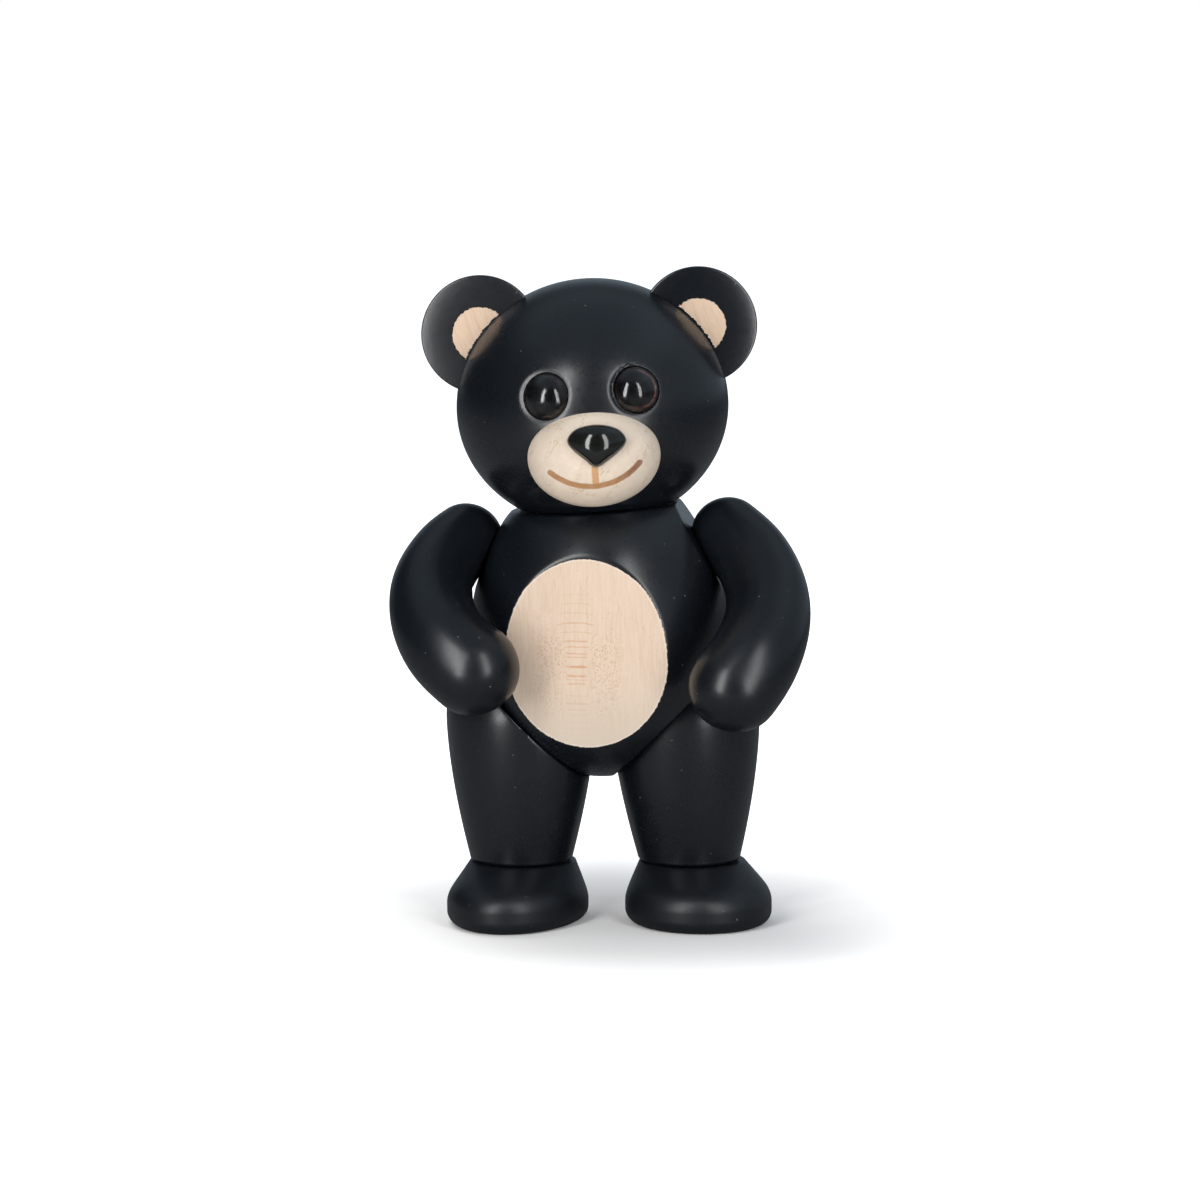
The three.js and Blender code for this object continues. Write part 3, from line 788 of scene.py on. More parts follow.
def catmull(points, count, loop=False):
    """Points along the smooth curve through a few given ones."""
    p = [np.array(q, float) for q in points]
    size = len(p)
    spans = size if loop else size - 1
    result = []
    for i in range(count if loop else count + 1):
        t = spans * i / count
        k = min(int(t), spans - 1)
        w = t - k
        p1, p2 = p[k % size], p[(k + 1) % size]
        p0 = p[(k - 1) % size] if loop or k > 0 else 2 * p[0] - p[1]
        p3 = p[(k + 2) % size] if loop or k + 2 < size else 2 * p[-1] - p[-2]
        steps = ((p0, p1), (p1, p2), (p2, p3))
        d0, d1, d2 = (float(np.linalg.norm(b - a)) ** 0.5 for a, b in steps)
        start = ((p1 - p0) / d0 - (p2 - p0) / (d0 + d1) + (p2 - p1) / d1) * d1
        end = ((p2 - p1) / d1 - (p3 - p1) / (d1 + d2) + (p3 - p2) / d2) * d1
        cubic = 2 * p1 - 2 * p2 + start + end
        square = -3 * p1 + 3 * p2 - 2 * start - end
        result.append(p1 + start * w + square * w ** 2 + cubic * w ** 3)
    return result


def evenly(points, count, loop=False):
    """The same curve with its points spread evenly along its length."""
    line = np.array(points + [points[0]] if loop else points)
    lengths = np.concatenate(([0.0], np.cumsum(np.linalg.norm(np.diff(line, axis=0), axis=1))))
    marks = np.linspace(0, lengths[-1], count + 1)[:count if loop else None]
    return [[float(np.interp(mark, lengths, column)) for column in line.T] for mark in marks]


def muzzle_dome(name, around, rings):
    """The muzzle's oval dome, from the back that is let into the head to its peak."""
    outline = [
        (MUZZLE_HALF_WIDTH * math.cos(a), MUZZLE_HALF_HEIGHT * math.sin(a))
        for a in spaced(0, 2 * math.pi, around)[:-1]
    ]
    rows = [[(x, y, height) for x, y in outline] for height in spaced(-MUZZLE_BACK, 0, 6)[:-1]]
    for angle in spaced(0, math.pi / 2, rings)[:-1]:
        scale, height = math.cos(angle), MUZZLE_DOME * math.sin(angle) ** MUZZLE_ROUNDNESS
        rows.append([(x * scale, y * scale, height) for x, y in outline])
    dome = skinned(name, rows, (0, 0, -MUZZLE_BACK), (0, 0, MUZZLE_DOME))
    dome.data.transform(facing(MUZZLE_AT, MUZZLE_LEAN))
    return dome


def make_muzzle(material):
    muzzle = muzzle_dome("muzzle_dome", 240, 90)
    carved(muzzle, head_ball(FITTING_GAP))
    dressed(muzzle, "muzzle", material, head_frame)


def nose_face(outline, share):
    """A ring of the nose's face, a share of the way from its middle to the outline."""
    ring = []
    for outline_x, outline_y in outline:
        x, y = outline_x * share, outline_y * share
        ball = NOSE_DOME - (x * x + y * y) / (2 * NOSE_BALL_RADIUS)
        ring.append((x, y, NOSE_WALL + ball * math.sqrt(1 - share ** NOSE_SHOULDER_POWER)))
    return ring


def make_nose(material):
    """A button like a piece of a ball, on a foot that flares a little where it meets the wood."""
    outline = evenly(catmull(NOSE_OUTLINE, 600, loop=True), 180, loop=True)
    foot = [(x * NOSE_FLARE, y * NOSE_FLARE) for x, y in outline]
    rows = [[(x, y, height) for x, y in foot] for height in NOSE_FOOT_HEIGHTS]
    rows += [[(x, y, height) for x, y in outline] for height in NOSE_WALL_HEIGHTS]
    rows += [nose_face(outline, math.sin(a)) for a in spaced(math.pi / 2, 0, 48)[:-1]]
    nose = skinned("nose_button", rows, (0, 0, -NOSE_BACK), (0, 0, NOSE_WALL + NOSE_DOME))
    nose.data.transform(facing(NOSE_AT, NOSE_LEAN, roll=NOSE_ROLL))
    carved(nose, muzzle_dome("muzzle_cutter", 160, 60))
    dressed(nose, "nose", material, head_frame)


# Eyes

def make_eye(name, eye, glass, back):
    place = head_frame @ eye_place(eye)
    start = math.asin((EYE_BALL_RADIUS - EYE_DOME) / EYE_BALL_RADIUS)
    dome = [
        (EYE_BALL_RADIUS * math.cos(a), EYE_DOME - EYE_BALL_RADIUS + EYE_BALL_RADIUS * math.sin(a))
        for a in spaced(start, math.pi / 2, 60)
    ]
    bottom = filled([(0.0, -EYE_BODY), (EYE_RIM, -EYE_BODY)], 0.4)
    lens = turned(f"{name}_glass", bottom + dome, ROUND_EYE, glass)
    dressed(made(lens), name, glass, place)
    inner, low = EYE_RIM - EYE_WALL, EYE_WALL - EYE_BODY
    cup = filled([(0.0, low), (inner, low), (inner, 0.0), (0.0, 0.0)], 0.3)
    disc = turned(f"{name}_back", cup, ROUND_EYE, back)
    dressed(made(disc), name, back, place)


def make_bead(name, eye, material):
    """Paint that has gathered in lumps round the rim of an eye, most of it above."""
    at, around = Vector(eye[0]), eye_place(eye).to_3x3()
    looking = around @ Vector((0, 0, 1))
    lumps = random.Random(7)
    sizes = np.array([lumps.random() ** 2 for _ in range(BEAD_LUMPS)])
    rows = []
    for i, angle in enumerate(spaced(0, 2 * math.pi, BEAD_RINGS)[:-1]):
        lump = float(np.interp(i / BEAD_RINGS * BEAD_LUMPS, range(BEAD_LUMPS + 1), [*sizes, sizes[0]]))
        above = 0.5 + 0.5 * math.cos(angle - math.radians(BEAD_THICKEST))
        size = BEAD_SIZE * (0.25 + 0.5 * above ** 2 + 0.9 * lump * (0.25 + 0.75 * above))
        outward = around @ Vector((math.cos(angle), math.sin(angle), 0))
        foot = at + outward * (EYE_RIM + EYE_GAP + size * 0.7)
        middle = foot + looking * (ball_height(foot, looking) - size * 0.35)
        rows.append([
            tuple(middle + outward * (size * math.cos(turn)) + looking * (size * math.sin(turn)))
            for turn in spaced(0, 2 * math.pi, BEAD_SIDES)[:-1]
        ])

    def at_ring(ring, side):
        return ring % BEAD_RINGS * BEAD_SIDES + side % BEAD_SIDES

    faces = [
        (at_ring(i, k), at_ring(i + 1, k), at_ring(i + 1, k + 1), at_ring(i, k + 1))
        for i in range(BEAD_RINGS) for k in range(BEAD_SIDES)
    ]
    bead = new_object(name, [p for row in rows for p in row], faces)
    closed(bead)
    dressed(bead, "head", material, head_frame)


# Torso

def egg_profile():
    side = []
    for angle in spaced(-math.pi / 2, math.pi / 2, 230):
        reach = TORSO_BELOW if angle < 0 else TORSO_ABOVE
        share = math.sqrt(max(0.0, 1 - abs(math.sin(angle)) ** TORSO_FULLNESS))
        side.append((TORSO_RADIUS * share, TORSO_WIDEST + reach * math.sin(angle)))
    return side


def shoulder_flat(side):
    shoulder = LEFT_SHOULDER if side > 0 else RIGHT_SHOULDER
    lean = math.radians(shoulder["lean"])
    return Vector(shoulder["at"]), Vector((side * math.cos(lean), 0, math.sin(lean)))


def hip_flat(side):
    lean = math.radians(HIP_LEAN)
    return Vector((0, 0, HIP_APEX)), Vector((side * math.cos(lean), 0, math.sin(lean)))


def belly_flat():
    tilt = turn_by(BELLY_TURN, "Z") @ turn_by(BELLY_LEAN, "X")
    return Vector(BELLY_AT), tilt @ Vector((0, -1, 0))


def neck_flat():
    """The flat under the head, in the torso's own frame."""
    roll = math.radians(HEAD_ROLL)
    to_torso = torso_frame.inverted() @ figure
    normal = to_torso.to_3x3() @ Vector((-math.sin(roll), 0, math.cos(roll)))
    return to_torso @ Vector(NECK_AT), normal


def make_torso(material):
    torso = turned("torso_egg", egg_profile(), ROUND_TORSO, material)
    sides = [shoulder_flat(1), shoulder_flat(-1), hip_flat(1), hip_flat(-1)]
    for at, normal in [belly_flat(), neck_flat(), *sides]:
        shaped(torso, PLANED_FLAT, material, At=tuple(at), Facing=tuple(normal), Softness=SOFT_EDGE)
    dressed(made(torso), "torso", material, torso_frame, crease=60)


# Arms

def make_arm(name, side, line, material):
    """A bent bar along a line; its points are closest together near the round ends."""
    fine = 1200
    curve = evenly(catmull(line, fine), fine)
    points = [curve[round((1 - math.cos(a)) / 2 * fine)] for a in spaced(0, math.pi, 150)]
    points = [p for i, p in enumerate(points) if i == 0 or p != points[i - 1]]
    edges = [(i, i + 1) for i in range(len(points) - 1)]
    arm = new_object(f"{name}_bar", points, edges=edges)
    shaped(
        arm, BENT_BAR, material,
        Start_Radius=ARM_SHOULDER_RADIUS, End_Radius=ARM_HAND_RADIUS, Around=ROUND_BAR)
    made(arm)
    at, normal = shoulder_flat(side)
    plug = made(turned("plug", [(0, 0), (20, 0), (20, 40), (0, 40)], ROUND_CUTTER, None))
    turn = Vector((0, 0, 1)).rotation_difference(-normal).to_matrix().to_4x4()
    plug.data.transform(Matrix.Translation(at + normal * FITTING_GAP) @ turn)
    carved(arm, plug)
    dressed(arm, name, material, torso_frame)


# Legs and feet

def leg_profile():
    start = LEG_BOTTOM + LEG_EDGE
    profile = [(0.0, LEG_BOTTOM)] + quarter(LEG_BOTTOM_RADIUS - LEG_EDGE, start, LEG_EDGE, -90, 0)
    for share in spaced(0, 1, 60)[1:]:
        wider = (LEG_RADIUS - LEG_BOTTOM_RADIUS) * (1 - (1 - share) ** LEG_TAPER_POWER)
        profile.append((LEG_BOTTOM_RADIUS + wider, start + (LEG_WIDEST - start) * share))
    for angle in spaced(0, math.pi / 2, 60)[1:]:
        profile.append((LEG_RADIUS * math.cos(angle), LEG_WIDEST + LEG_DOME * math.sin(angle)))
    return filled(profile, 0.8)


def make_leg(name, side, leg, material):
    x, lean = leg
    piece = made(turned(f"{name}_turning", leg_profile(), ROUND_LIMB, material))
    shear = Matrix.Identity(4)
    shear[0][2] = math.tan(math.radians(lean))
    shear[0][3] = -shear[0][2] * LEG_BOTTOM
    piece.data.transform(shear)
    leg_frame = figure @ placed((x, 0, 0))
    to_leg = leg_frame.inverted() @ torso_frame
    at, normal = hip_flat(side)
    at, facing_hip = tuple(to_leg @ (at + normal * HIP_GAP)), tuple(to_leg.to_3x3() @ -normal)
    shaped(piece, PLANED_FLAT, material, At=at, Facing=facing_hip, Softness=SOFT_EDGE)
    dressed(made(piece), name, material, leg_frame, crease=60)


def make_foot(name, leg_x, aside, turn, size, material):
    sole = [
        (-1, FOOT_EDGE * (1 - math.cos(a)), FOOT_EDGE * (1 + math.sin(a)))
        for a in spaced(-math.pi / 2, 0, 16)
    ]
    upper = [(share ** 2.2, 0, 0) for share in spaced(0, 1, 56)]
    ankle = [(1, inset, 0) for inset in (0.4, 1, 2, 3, 5)]
    foot = new_object(f"{name}_shoe", sole + upper + ankle)
    shaped(foot, SHOE, material, Around=ROUND_LIMB, **FOOT, **size)
    closed(made(foot))
    place = figure @ placed((leg_x + aside, 0, 0), yaw=turn)
    dressed(foot, name, material, place)


# Effects that several finishes share

# What an effect for a whole surface gives
SURFACE = {"Color": "Color", "Roughness": "Float", "Height": "Float"}


def satin_paint():
    """Brushed satin paint: uneven colour and gloss, a fine orange peel and a few specks of dust."""
    tree = Group("Satin Paint", "ShaderNodeTree", {
        "Place": "Vector", "Color": PAINT_COLOR, "Dust Color": DUST_COLOR,
        "Roughness": PAINT_GLOSS, "Dust": 0.5, "Peel": 0.012,
    }, SURFACE)
    place = tree["Place"]
    broad = tree.noise(place, 0.07, detail=3.0)
    fine = tree.noise(place, 0.9, detail=3.0, roughness=0.6)
    body = tree.scaled(tree["Color"], broad * 0.5 + (fine * 0.2 + 0.65))
    apart, chance = tree.cells(place, 0.42)
    is_dust = tree.math("FRACT", chance * 7.3) < tree["Dust"]
    speck = (apart < chance * 0.07 + 0.012) * is_dust
    gloss = (fine - 0.5) * 0.1 + tree["Roughness"] + (broad - 0.5) * 0.08
    peel = tree.noise(place, 0.55) * tree["Peel"]
    brushed = tree.noise(tree.stretched(place, 4.0, 4.0, 0.5), 1.0) * 0.0015
    return tree.giving(
        Color=tree.mixed(speck * 0.8, body, tree["Dust Color"]),
        Roughness=gloss + speck * 0.3, Height=peel + brushed + speck * 0.01)


def maple():
    """Bare sanded maple with its fibres along Z: a pale ground with fine lines and ray flecks."""
    tree = Group("Maple", "ShaderNodeTree", {
        "Place": "Vector", "Light": MAPLE_LIGHT, "Dark": MAPLE_DARK,
        "Fibres": 0.5, "Flecks": 0.5, "Fleck Size": (1.3, 1.3, 0.7),
    }, SURFACE)
    place, fibres = tree["Place"], tree["Fibres"]
    drift = tree.noise(place, 0.12, detail=1.0, output="Color")
    drift = tree.scaled(tree.vector("SUBTRACT", drift, (0.5, 0.5, 0.5)), 1.6)
    bent = tree.stretched(tree.vector("ADD", place, drift), 1.7, 1.7, 0.07)
    lines = tree.noise(bent, 1.0, detail=4.0, roughness=0.62)
    hairs = tree.noise(tree.stretched(place, 6.0, 6.0, 0.5), 1.0)
    cloud = tree.noise(tree.stretched(place, 1.0, 1.0, 0.6), 0.13)
    shade = tree.ramp(lines, 0.34, 0.72) * fibres + (hairs - 0.5) * (fibres * 0.8) + (cloud - 0.5) * 0.5
    apart, chance = tree.cells(tree.vector("MULTIPLY", place, tree["Fleck Size"]))
    flecks = tree.fade(apart, 0.1, 0.36) * tree.ramp(chance, 0.35, 0.95)
    flecks = flecks * tree.ramp(tree.noise(place, 0.22), 0.42, 0.6) * tree["Flecks"]
    dark_share = tree.math("ADD", shade, flecks, clamp=True)
    return tree.giving(
        Color=tree.mixed(dark_share, tree["Light"], tree["Dark"]),
        Roughness=hairs * 0.18 + (flecks * 0.1 + 0.52),
        Height=hairs * 0.008 + lines * 0.012 - flecks * 0.008)


def paint_edge():
    """Where paint stops and bare wood begins: a slightly ragged line, and a pale painted edge highlight
    along it.
    """
    inputs = {"Place": "Vector", "Distance": 0.0, "Ragged": 0.1, "Rim": 0.25}
    tree = Group("Paint Edge", "ShaderNodeTree", inputs, {"Bare": "Float", "Rubbed": "Float"})
    wander = tree.noise(tree["Place"], 1.6, detail=3.0, roughness=0.6) - 0.5
    distance = wander * tree["Ragged"] + tree["Distance"]
    bare = tree.ramp(distance, -PAINT_EDGE_BLUR, PAINT_EDGE_BLUR)
    # The second output is a painted edge highlight: a pale band just inside the bare edge
    return tree.giving(Bare=bare, Rubbed=bare * tree.fade(distance / tree["Rim"], 0.4, 1.0))


SATIN_PAINT, MAPLE, PAINT_EDGE = satin_paint(), maple(), paint_edge()


# Finishes

class Finish(Tree):
    """A material under construction."""

    def __init__(self, name):
        self.material = bpy.data.materials.new(name)
        self.material.use_nodes = True
        super().__init__(self.material.node_tree)
        self.shader = self.nodes["Principled BSDF"].inputs

    def coated(self, color, roughness, height=None):
        """Feeds the shader and returns the finished material; the height is in millimetres."""
        self.feed(self.shader["Base Color"], color)
        self.feed(self.shader["Roughness"], roughness)
        if height:
            relief = {"Height": height, "Strength": 1.0, "Distance": MM}
            self.feed(self.shader["Normal"], self.add("ShaderNodeBump", relief)[0])
        return self.material

    def layered(self, paint, wood, color, edge, highlight_color, highlight_share):
        """Paint where nothing is bare, and coloured wood elsewhere with a pale painted edge highlight
        along its rim.
        """
        bare = edge["Bare"]
        # A pale band along the edge of the bare wood: a painted edge highlight
        color = self.mixed(edge["Rubbed"] * highlight_share, color, highlight_color)
        roughness, height = (
            self.ramp(bare, 0.0, 1.0, paint[key], wood[key], smooth=False)
            for key in ("Roughness", "Height"))
        return self.coated(
            self.mixed(bare, paint["Color"], color), roughness, height + bare * -PAINT_THICKNESS)


def black_paint(name, place, gloss=PAINT_GLOSS, dust=0.5, shine=0.5):
    tree = Finish(name)
    tree.shader["Specular IOR Level"].default_value = shine
    paint = tree.shared(SATIN_PAINT, Place=tree.local(place), Roughness=gloss, Dust=dust)
    return tree.coated(paint["Color"], paint["Roughness"], paint["Height"])


def egg_radius(tree, z):
    """The radius of the torso's egg at a height."""
    rise = z - TORSO_WIDEST
    reach = (rise > 0.0) * (TORSO_ABOVE - TORSO_BELOW) + TORSO_BELOW
    share = abs(rise / reach) ** TORSO_FULLNESS
    return tree.math("SQRT", tree.math("MAXIMUM", 1.0 - share, 0.0)) * TORSO_RADIUS


def belly_rungs(tree, place, x, z):
    """A ladder of short marks, each a little bowed, wavy and broken."""
    across = x - RUNG_CENTRE
    wobble = (tree.noise(place, 0.9, detail=3.0) - 0.5) * 0.5
    bowed = abs(across) ** 2.0
    rungs = None
    for height, thickness, reach, bow, strength in RUNGS:
        off_line = abs(bowed * bow + (z + wobble - height))
        line = tree.ramp(off_line, thickness * 0.4, thickness, strength, 0.0)
        line = line * tree.fade(abs(across), reach * 0.8, reach * 1.15)
        rungs = line if rungs is None else tree.math("MAXIMUM", rungs, line)
    broken = tree.noise(tree.stretched(place, 0.6, 0.1, 1.6), 1.0)
    return rungs * tree.ramp(broken, 0.32, 0.52, 0.45, 1.0)


def belly_pores(tree, place, x, z):
    """Fine pores in an upright band on each side of the rungs."""
    apart, chance = tree.cells(tree.stretched(place, 2.0, 0.3, 1.6))
    pores = tree.fade(apart, 0.18, 0.55) * tree.ramp(chance, 0.0, 0.6, 0.2, 1.0)
    in_band = tree.fade(abs(abs(x - PORE_CENTRE[0]) - PORE_BAND), 1.6, 5.4)
    return pores * (in_band * tree.ramp(abs(z - PORE_CENTRE[1]), 6.0, 13.0, 1.0, 0.12))


def torso_finish():
    """Black paint and the bare belly, cut so that the wood's rays show as a ladder of short marks."""
    tree = Finish("painted_torso_bare_belly")
    place = tree.local(torso_frame)
    x, y, z = tree.parts(place)
    at, normal = belly_flat()
    above = tree.vector("DOT_PRODUCT", tree.vector("SUBTRACT", place, tuple(at)), tuple(normal))
    inset = (egg_radius(tree, z) - tree.length(x, y)) / BELLY_SLOPE
    paint_overlap = tree.ramp(z, 78.0, 86.0, 0.12, 0.6)
    distance = inset * (above > -BELLY_PAINT_REACH) - paint_overlap
    edge = tree.shared(PAINT_EDGE, Place=place, Distance=distance, Ragged=0.35, Rim=0.45)
    paint = tree.shared(SATIN_PAINT, Place=place)
    wood = tree.shared(MAPLE, Place=place, Fibres=0.36, Flecks=0.4)
    color = tree.mixed(belly_rungs(tree, place, x, z), wood["Color"], RUNG_COLOR)
    color = tree.mixed(belly_pores(tree, place, x, z) * 0.68, color, PORE_COLOR)
    # Painted shade, darker and greyer towards the bottom of the belly
    color = tree.mixed(tree.ramp(z, 42.0, 64.0, 0.85, 0.0), color, BELLY_PAINTED_SHADE_COLOR)
    # The belly's cut gets a painted edge highlight along its rim
    return tree.layered(paint, wood, color, edge, BELLY_EDGE_HIGHLIGHT_COLOR, 0.42)


def ear_finish(name, at, gloss):
    """Black paint round a bare patch with a rough edge on the front of an ear."""
    tree = Finish(name)
    place = tree.local(head_frame @ Matrix.Translation((at[0], 0, at[1])))
    x, y, z = tree.parts(place)
    front = y < EAR_FRONT + EAR_PATCH_DEPTH + 0.1
    inside = (EAR_PATCH_RADIUS - EAR_PAINT_OVERLAP - tree.length(x, 0.0, z)) * front - (1.0 - front)
    on_head = tree.vector("ADD", place, (at[0], 0.0, at[1]))
    on_ball = tree.vector("DIVIDE", on_head, (HEAD_RADIUS, HEAD_RADIUS, HEAD_ABOVE))
    from_head = (tree.vector("LENGTH", on_ball) - 1.0) * HEAD_ABOVE
    distance = tree.math("MINIMUM", inside, from_head - EAR_SEAM)
    edge = tree.shared(PAINT_EDGE, Place=place, Distance=distance, Ragged=1.0, Rim=0.3)
    paint = tree.shared(SATIN_PAINT, Place=place, Roughness=gloss)
    grain = tree.turned(place, y=20)
    wood = tree.shared(MAPLE, Place=grain, Light=EAR_LIGHT, Dark=EAR_DARK, Fibres=0.5, Flecks=0.25)
    # The ear's bare patch gets a painted edge highlight along its rim
    return tree.layered(paint, wood, wood["Color"], edge, EAR_EDGE_HIGHLIGHT_COLOR, 0.21)


def muzzle_color(tree, place, wood, slanted):
    """The wood of the muzzle with clouds, painted light that makes its top paler, slanting flecks and a
    few hairline cracks.
    """
    x, y, _ = tree.parts(place)
    clouds = tree.noise(place, 0.42, detail=5.0, roughness=0.65)
    color = tree.mixed(tree.ramp(clouds, 0.36, 0.62, 0.0, 0.8), wood["Color"], MUZZLE_CLOUD_COLOR)
    # Painted light, paler towards the top of the muzzle and a little towards its right
    color = tree.mixed(tree.ramp(x * 0.3 + y, 2.0, 13.0, 0.0, 0.75), color, MUZZLE_PAINTED_LIGHT_COLOR)
    apart, chance = tree.cells(tree.stretched(tree.turned(place, z=-40), 1.0, 2.2, 0.5))
    fleck = tree.fade(apart, 0.06, 0.3) * tree.ramp(chance, 0.45, 0.9)
    share = tree.ramp(tree.noise(place, 0.2), 0.42, 0.62) * tree.ramp(x, -8.0, 6.0, 0.75, 0.2)
    color = tree.mixed(fleck * share, color, MUZZLE_FLECK_COLOR)
    crack = tree.noise(tree.stretched(slanted, 0.32, 0.32, 0.12), 1.0, detail=4.0, roughness=0.6)
    patchy = tree.noise(tree.vector("ADD", place, (20.0, 5.0, 0.0)), 0.2)
    crack = tree.fade(abs(crack - 0.5), 0.004, 0.018) * tree.ramp(patchy, 0.42, 0.56)
    return tree.mixed(crack * 0.5, color, MUZZLE_CRACK_COLOR)


def burnt_lines(tree, place):
    """The smile, an arc with round ends, and the upright line under the nose."""
    x, y, _ = tree.parts(place)
    ragged = (tree.noise(place, 2.2, detail=3.0) - 0.5) * 0.35

    def line(distance, width):
        half = width / 2
        return tree.fade(distance + ragged, half - BURN_BLUR, half + BURN_BLUR)

    from_centre = tree.vector("SUBTRACT", tree.joined(x, y, 0.0), (*SMILE_CENTRE, 0.0))
    dx, dy, _ = tree.parts(from_centre)
    start, end = (math.radians(angle) for angle in SMILE_ENDS)
    swing = tree.math("ARCTAN2", dx, dy * -1.0)
    beyond = (abs(swing - (start + end) / 2) - (end - start) / 2) * SMILE_RADIUS
    off_arc = abs(tree.vector("LENGTH", from_centre) - SMILE_RADIUS)
    smile = line(tree.length(off_arc, tree.math("MAXIMUM", beyond, 0.0)), SMILE_WIDTH)
    below = tree.math("MAXIMUM", PHILTRUM_FOOT - y, 0.0)
    philtrum = line(tree.length(x - PHILTRUM_X, below), PHILTRUM_WIDTH) * (y < PHILTRUM_TOP)
    return smile, philtrum


def muzzle_finish():
    """Bare maple with slanting flecks, and the mouth burnt into it."""
    tree = Finish("bare_maple_muzzle")
    place = tree.local(head_frame @ facing(MUZZLE_AT, MUZZLE_LEAN))
    x, y, z = tree.parts(place)
    slanted = tree.turned(tree.joined(x, z, y), y=-38)
    wood = tree.shared(
        MAPLE, Place=slanted, Light=MUZZLE_LIGHT, Dark=MUZZLE_DARK, Fibres=0.22, Flecks=0.0)
    smile, philtrum = burnt_lines(tree, place)
    color = muzzle_color(tree, place, wood, slanted)
    color = tree.mixed(philtrum * 0.85, color, PHILTRUM_COLOR)
    burnt = tree.mixed(tree.ramp(x, 3.0, 9.0), SMILE_COLOR, SMILE_DARK_COLOR)
    uneven = tree.ramp(tree.noise(place, 1.1, detail=3.0), 0.3, 0.7, 0.86, 1.0)
    color = tree.mixed(smile * uneven, color, burnt)
    burn = tree.math("MAXIMUM", smile, philtrum) * BURN_DEPTH
    return tree.coated(color, wood["Roughness"], wood["Height"] - burn)


def nose_finish():
    """Thick glossy black lacquer, with a thin dull line where it meets the wood."""
    tree = Finish("glossy_nose_lacquer")
    place = tree.local(head_frame @ facing(NOSE_AT, NOSE_LEAN, roll=NOSE_ROLL))
    flow = tree.noise(place, 0.35)
    foot = tree.fade(tree.parts(place)[2], 0.22, 0.42)
    color = tree.mixed(foot, tree.mixed(flow, LACQUER_DARK, LACQUER_LIGHT), LACQUER_FOOT_COLOR)
    return tree.coated(color, flow * 0.06 + (foot * 0.25 + 0.08), flow * 0.05)


def eye_glass():
    """Clear glass, a little blurred below its polished face."""
    tree = Finish("clear_eye_glass")
    for name, value in EYE_GLASS.items():
        tree.shader[name].default_value = value
    return tree.material


def eye_back(name, eye, arc, reach, brown):
    """The black painted back of a glass eye, with a thin brown arc near its edge."""
    tree = Finish(name)
    tree.shader["Specular IOR Level"].default_value = 0.05
    place = tree.local(head_frame @ eye_place(eye))
    x, y, _ = tree.parts(place)
    radius = tree.length(x, y)
    streaks = tree.noise(place, 1.4, detail=3.0)
    off_arc = abs(streaks * 0.25 + radius - (EYE_ARC_RADIUS + 0.125))
    ahead = x * math.cos(math.radians(arc)) + y * math.sin(math.radians(arc))
    near = tree.ramp(ahead / tree.math("MAXIMUM", radius, 0.1), reach - 0.25, reach + 0.2)
    outside = tree.ramp(radius, EYE_ARC_RADIUS - 0.3, EYE_ARC_RADIUS + 0.4)
    streaked = tree.mixed(streaks, (0.004, 0.003, 0.003, 1), (0.016, 0.006, 0.005, 1))
    color = tree.mixed(outside, (0.002, 0.002, 0.003, 1), streaked)
    arc_share = tree.fade(off_arc, 0.06, 0.34) * near
    return tree.coated(tree.mixed(arc_share, color, brown), streaks * 0.2 + 0.4)


# Stage

def floor_finish():
    """A floor that is white for the camera but near the feet, and dim grey where gloss mirrors it."""
    tree = Finish("pale_studio_floor")
    place = tree.add("ShaderNodeTexCoord")["Object"]
    path = tree.add("ShaderNodeLightPath")
    white = tree.mixed(tree.noise(place, 3.0), FLOOR_WHITE, FLOOR_BRIGHT)
    tree.shader["Specular IOR Level"].default_value = 0.0
    tree.shader["Emission Color"].default_value = (1, 1, 1, 1)
    x, y, _ = tree.parts(place)
    glow = tree.ramp(tree.length(x - FLOOR_SHADOW_X, y), *FLOOR_SHADOW_SPAN, FLOOR_GLOW, 1.0)
    tree.feed(tree.shader["Emission Strength"], glow * path["Is Camera Ray"])
    return tree.coated(tree.mixed(path["Is Glossy Ray"], white, FLOOR_MIRRORED), 0.9)


def make_floor():
    corners = [(x * FLOOR_HALF, y * FLOOR_HALF, 0) for x, y in ((-1, -1), (1, -1), (1, 1), (-1, 1))]
    floor = new_object("studio_floor", corners, [(0, 1, 2, 3)])
    floor.data.materials.append(floor_finish())


def new_lamp(name, shape, power):
    """An area lamp that the camera doesn't see."""
    lamp = bpy.data.lights.new(name, "AREA")
    lamp.shape, lamp.energy = shape, power
    box = bpy.data.objects.new(name, lamp)
    box.visible_camera = False
    bpy.context.scene.collection.objects.link(box)
    return lamp, box


def strip_light(name, side, radiance):
    """A tall soft box that leans over the bear and faces it, on its left or right in the picture."""
    mirrored = Vector((side, 1, 1))
    foot, top = Vector(STRIP_FOOT) * mirrored, Vector(STRIP_TOP) * mirrored
    along = top - foot
    lamp, box = new_lamp(name, "RECTANGLE", radiance * math.pi * STRIP_WIDTH * along.length)
    lamp.size, lamp.size_y = STRIP_WIDTH, along.length
    middle = (foot + top) / 2
    upright = along.normalized()
    across = upright.cross(Vector((middle.x, middle.y, 0)).normalized()).normalized()
    turn = Matrix((across, upright, across.cross(upright))).transposed().to_4x4()
    box.matrix_world = Matrix.Translation(middle) @ turn


def soft_lamp(name, at, size, radiance):
    """A round soft lamp that faces the bear and only lights; nothing mirrors it."""
    lamp, box = new_lamp(name, "DISK", radiance * math.pi * math.pi * (size / 2) ** 2)
    lamp.size = size
    box.location = at
    box.rotation_euler = Vector(at).to_track_quat("Z", "Y").to_euler()
    box.visible_glossy = False
    box.visible_transmission = False


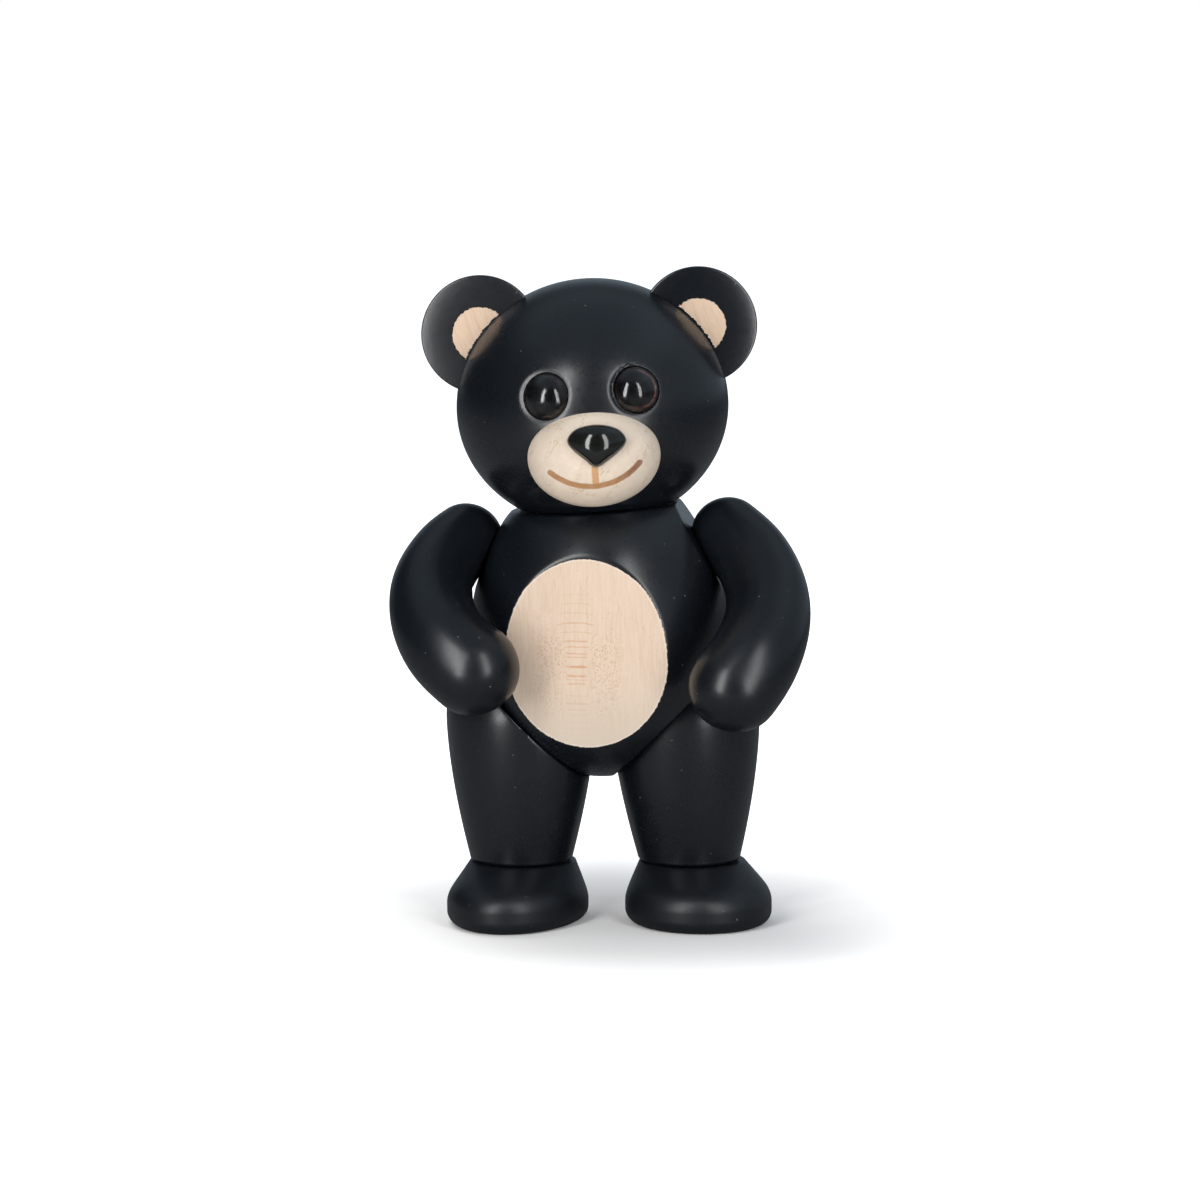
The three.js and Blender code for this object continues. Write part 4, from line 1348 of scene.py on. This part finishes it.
def make_world():
    """A white backdrop for the camera, in a dim room that is lighter above, behind and on the right."""
    world = bpy.data.worlds.new("studio")
    bpy.context.scene.world = world
    world.use_nodes = True
    tree = Tree(world.node_tree)
    x, y, z = tree.parts(tree.add("ShaderNodeTexCoord")["Generated"])
    room = tree.ramp(x, 0.1, 0.9, 0.0, ROOM_RIGHT) + ROOM_DIM
    room = room + tree.ramp(y, 0.75, 0.97, 0.0, ROOM_BACK) + tree.ramp(z, 0.5, 0.85, 0.0, ROOM_TOP)
    seen = tree.add("ShaderNodeLightPath")["Is Camera Ray"]
    background = world.node_tree.nodes["Background"].inputs
    tree.feed(background["Strength"], tree.ramp(seen, 0.0, 1.0, room, 1.0, smooth=False))
    tree.feed(background["Color"], tree.mixed(seen, ROOM_COLOR, (1, 1, 1, 1)))


def make_camera():
    lens = bpy.data.cameras.new("camera")
    lens.lens = CAMERA_LENS
    lens.sensor_width = 36
    lens.clip_start, lens.clip_end = 0.05, 20
    camera = bpy.data.objects.new("camera", lens)
    camera.location = (FIGURE_AT[0] * MM, (FIGURE_AT[1] - CAMERA_DISTANCE) * MM, CAMERA_HEIGHT * MM)
    camera.rotation_euler = (math.radians(90 - CAMERA_DOWN), 0, 0)
    bpy.context.scene.collection.objects.link(camera)
    bpy.context.scene.camera = camera


paint = black_paint("satin_black_paint", figure)
head_paint = black_paint("satin_black_head", head_frame)
make_head(head_paint)
make_ear("left_ear_disc", LEFT_EAR_AT, ear_finish("left_ear_finish", LEFT_EAR_AT, LEFT_EAR_GLOSS))
make_ear("right_ear_disc", RIGHT_EAR_AT, ear_finish("right_ear_finish", RIGHT_EAR_AT, RIGHT_EAR_GLOSS))
make_muzzle(muzzle_finish())
make_nose(nose_finish())
glass = eye_glass()
make_eye("left_eye", LEFT_EYE, glass, eye_back("left_eye_back", LEFT_EYE, *LEFT_ARC))
make_eye("right_eye", RIGHT_EYE, glass, eye_back("right_eye_back", RIGHT_EYE, *RIGHT_ARC))
make_bead("left_eye_bead", LEFT_EYE, head_paint)
make_torso(torso_finish())
arm_paint = black_paint("satin_black_arms", figure, gloss=0.31, shine=0.4)
make_arm("left_arm", 1, LEFT_ARM_LINE, arm_paint)
make_arm("right_arm", -1, RIGHT_ARM_LINE, arm_paint)
make_leg("left_leg", 1, LEFT_LEG, paint)
make_leg("right_leg", -1, RIGHT_LEG, paint)
foot_paint = black_paint("satin_black_feet", figure, gloss=0.43, dust=0.9, shine=0.45)
make_foot("left_foot", LEFT_LEG[0], *LEFT_FOOT, foot_paint)
make_foot("right_foot", RIGHT_LEG[0], *RIGHT_FOOT, foot_paint)

make_floor()
make_world()
strip_light("left_strip", -1, LEFT_STRIP_RADIANCE)
strip_light("right_strip", 1, RIGHT_STRIP_RADIANCE)
soft_lamp("back_lamp", BACK_LAMP_AT, BACK_LAMP_SIZE, BACK_LAMP_RADIANCE)
make_camera()
bpy.context.scene.view_settings.view_transform = "Standard"
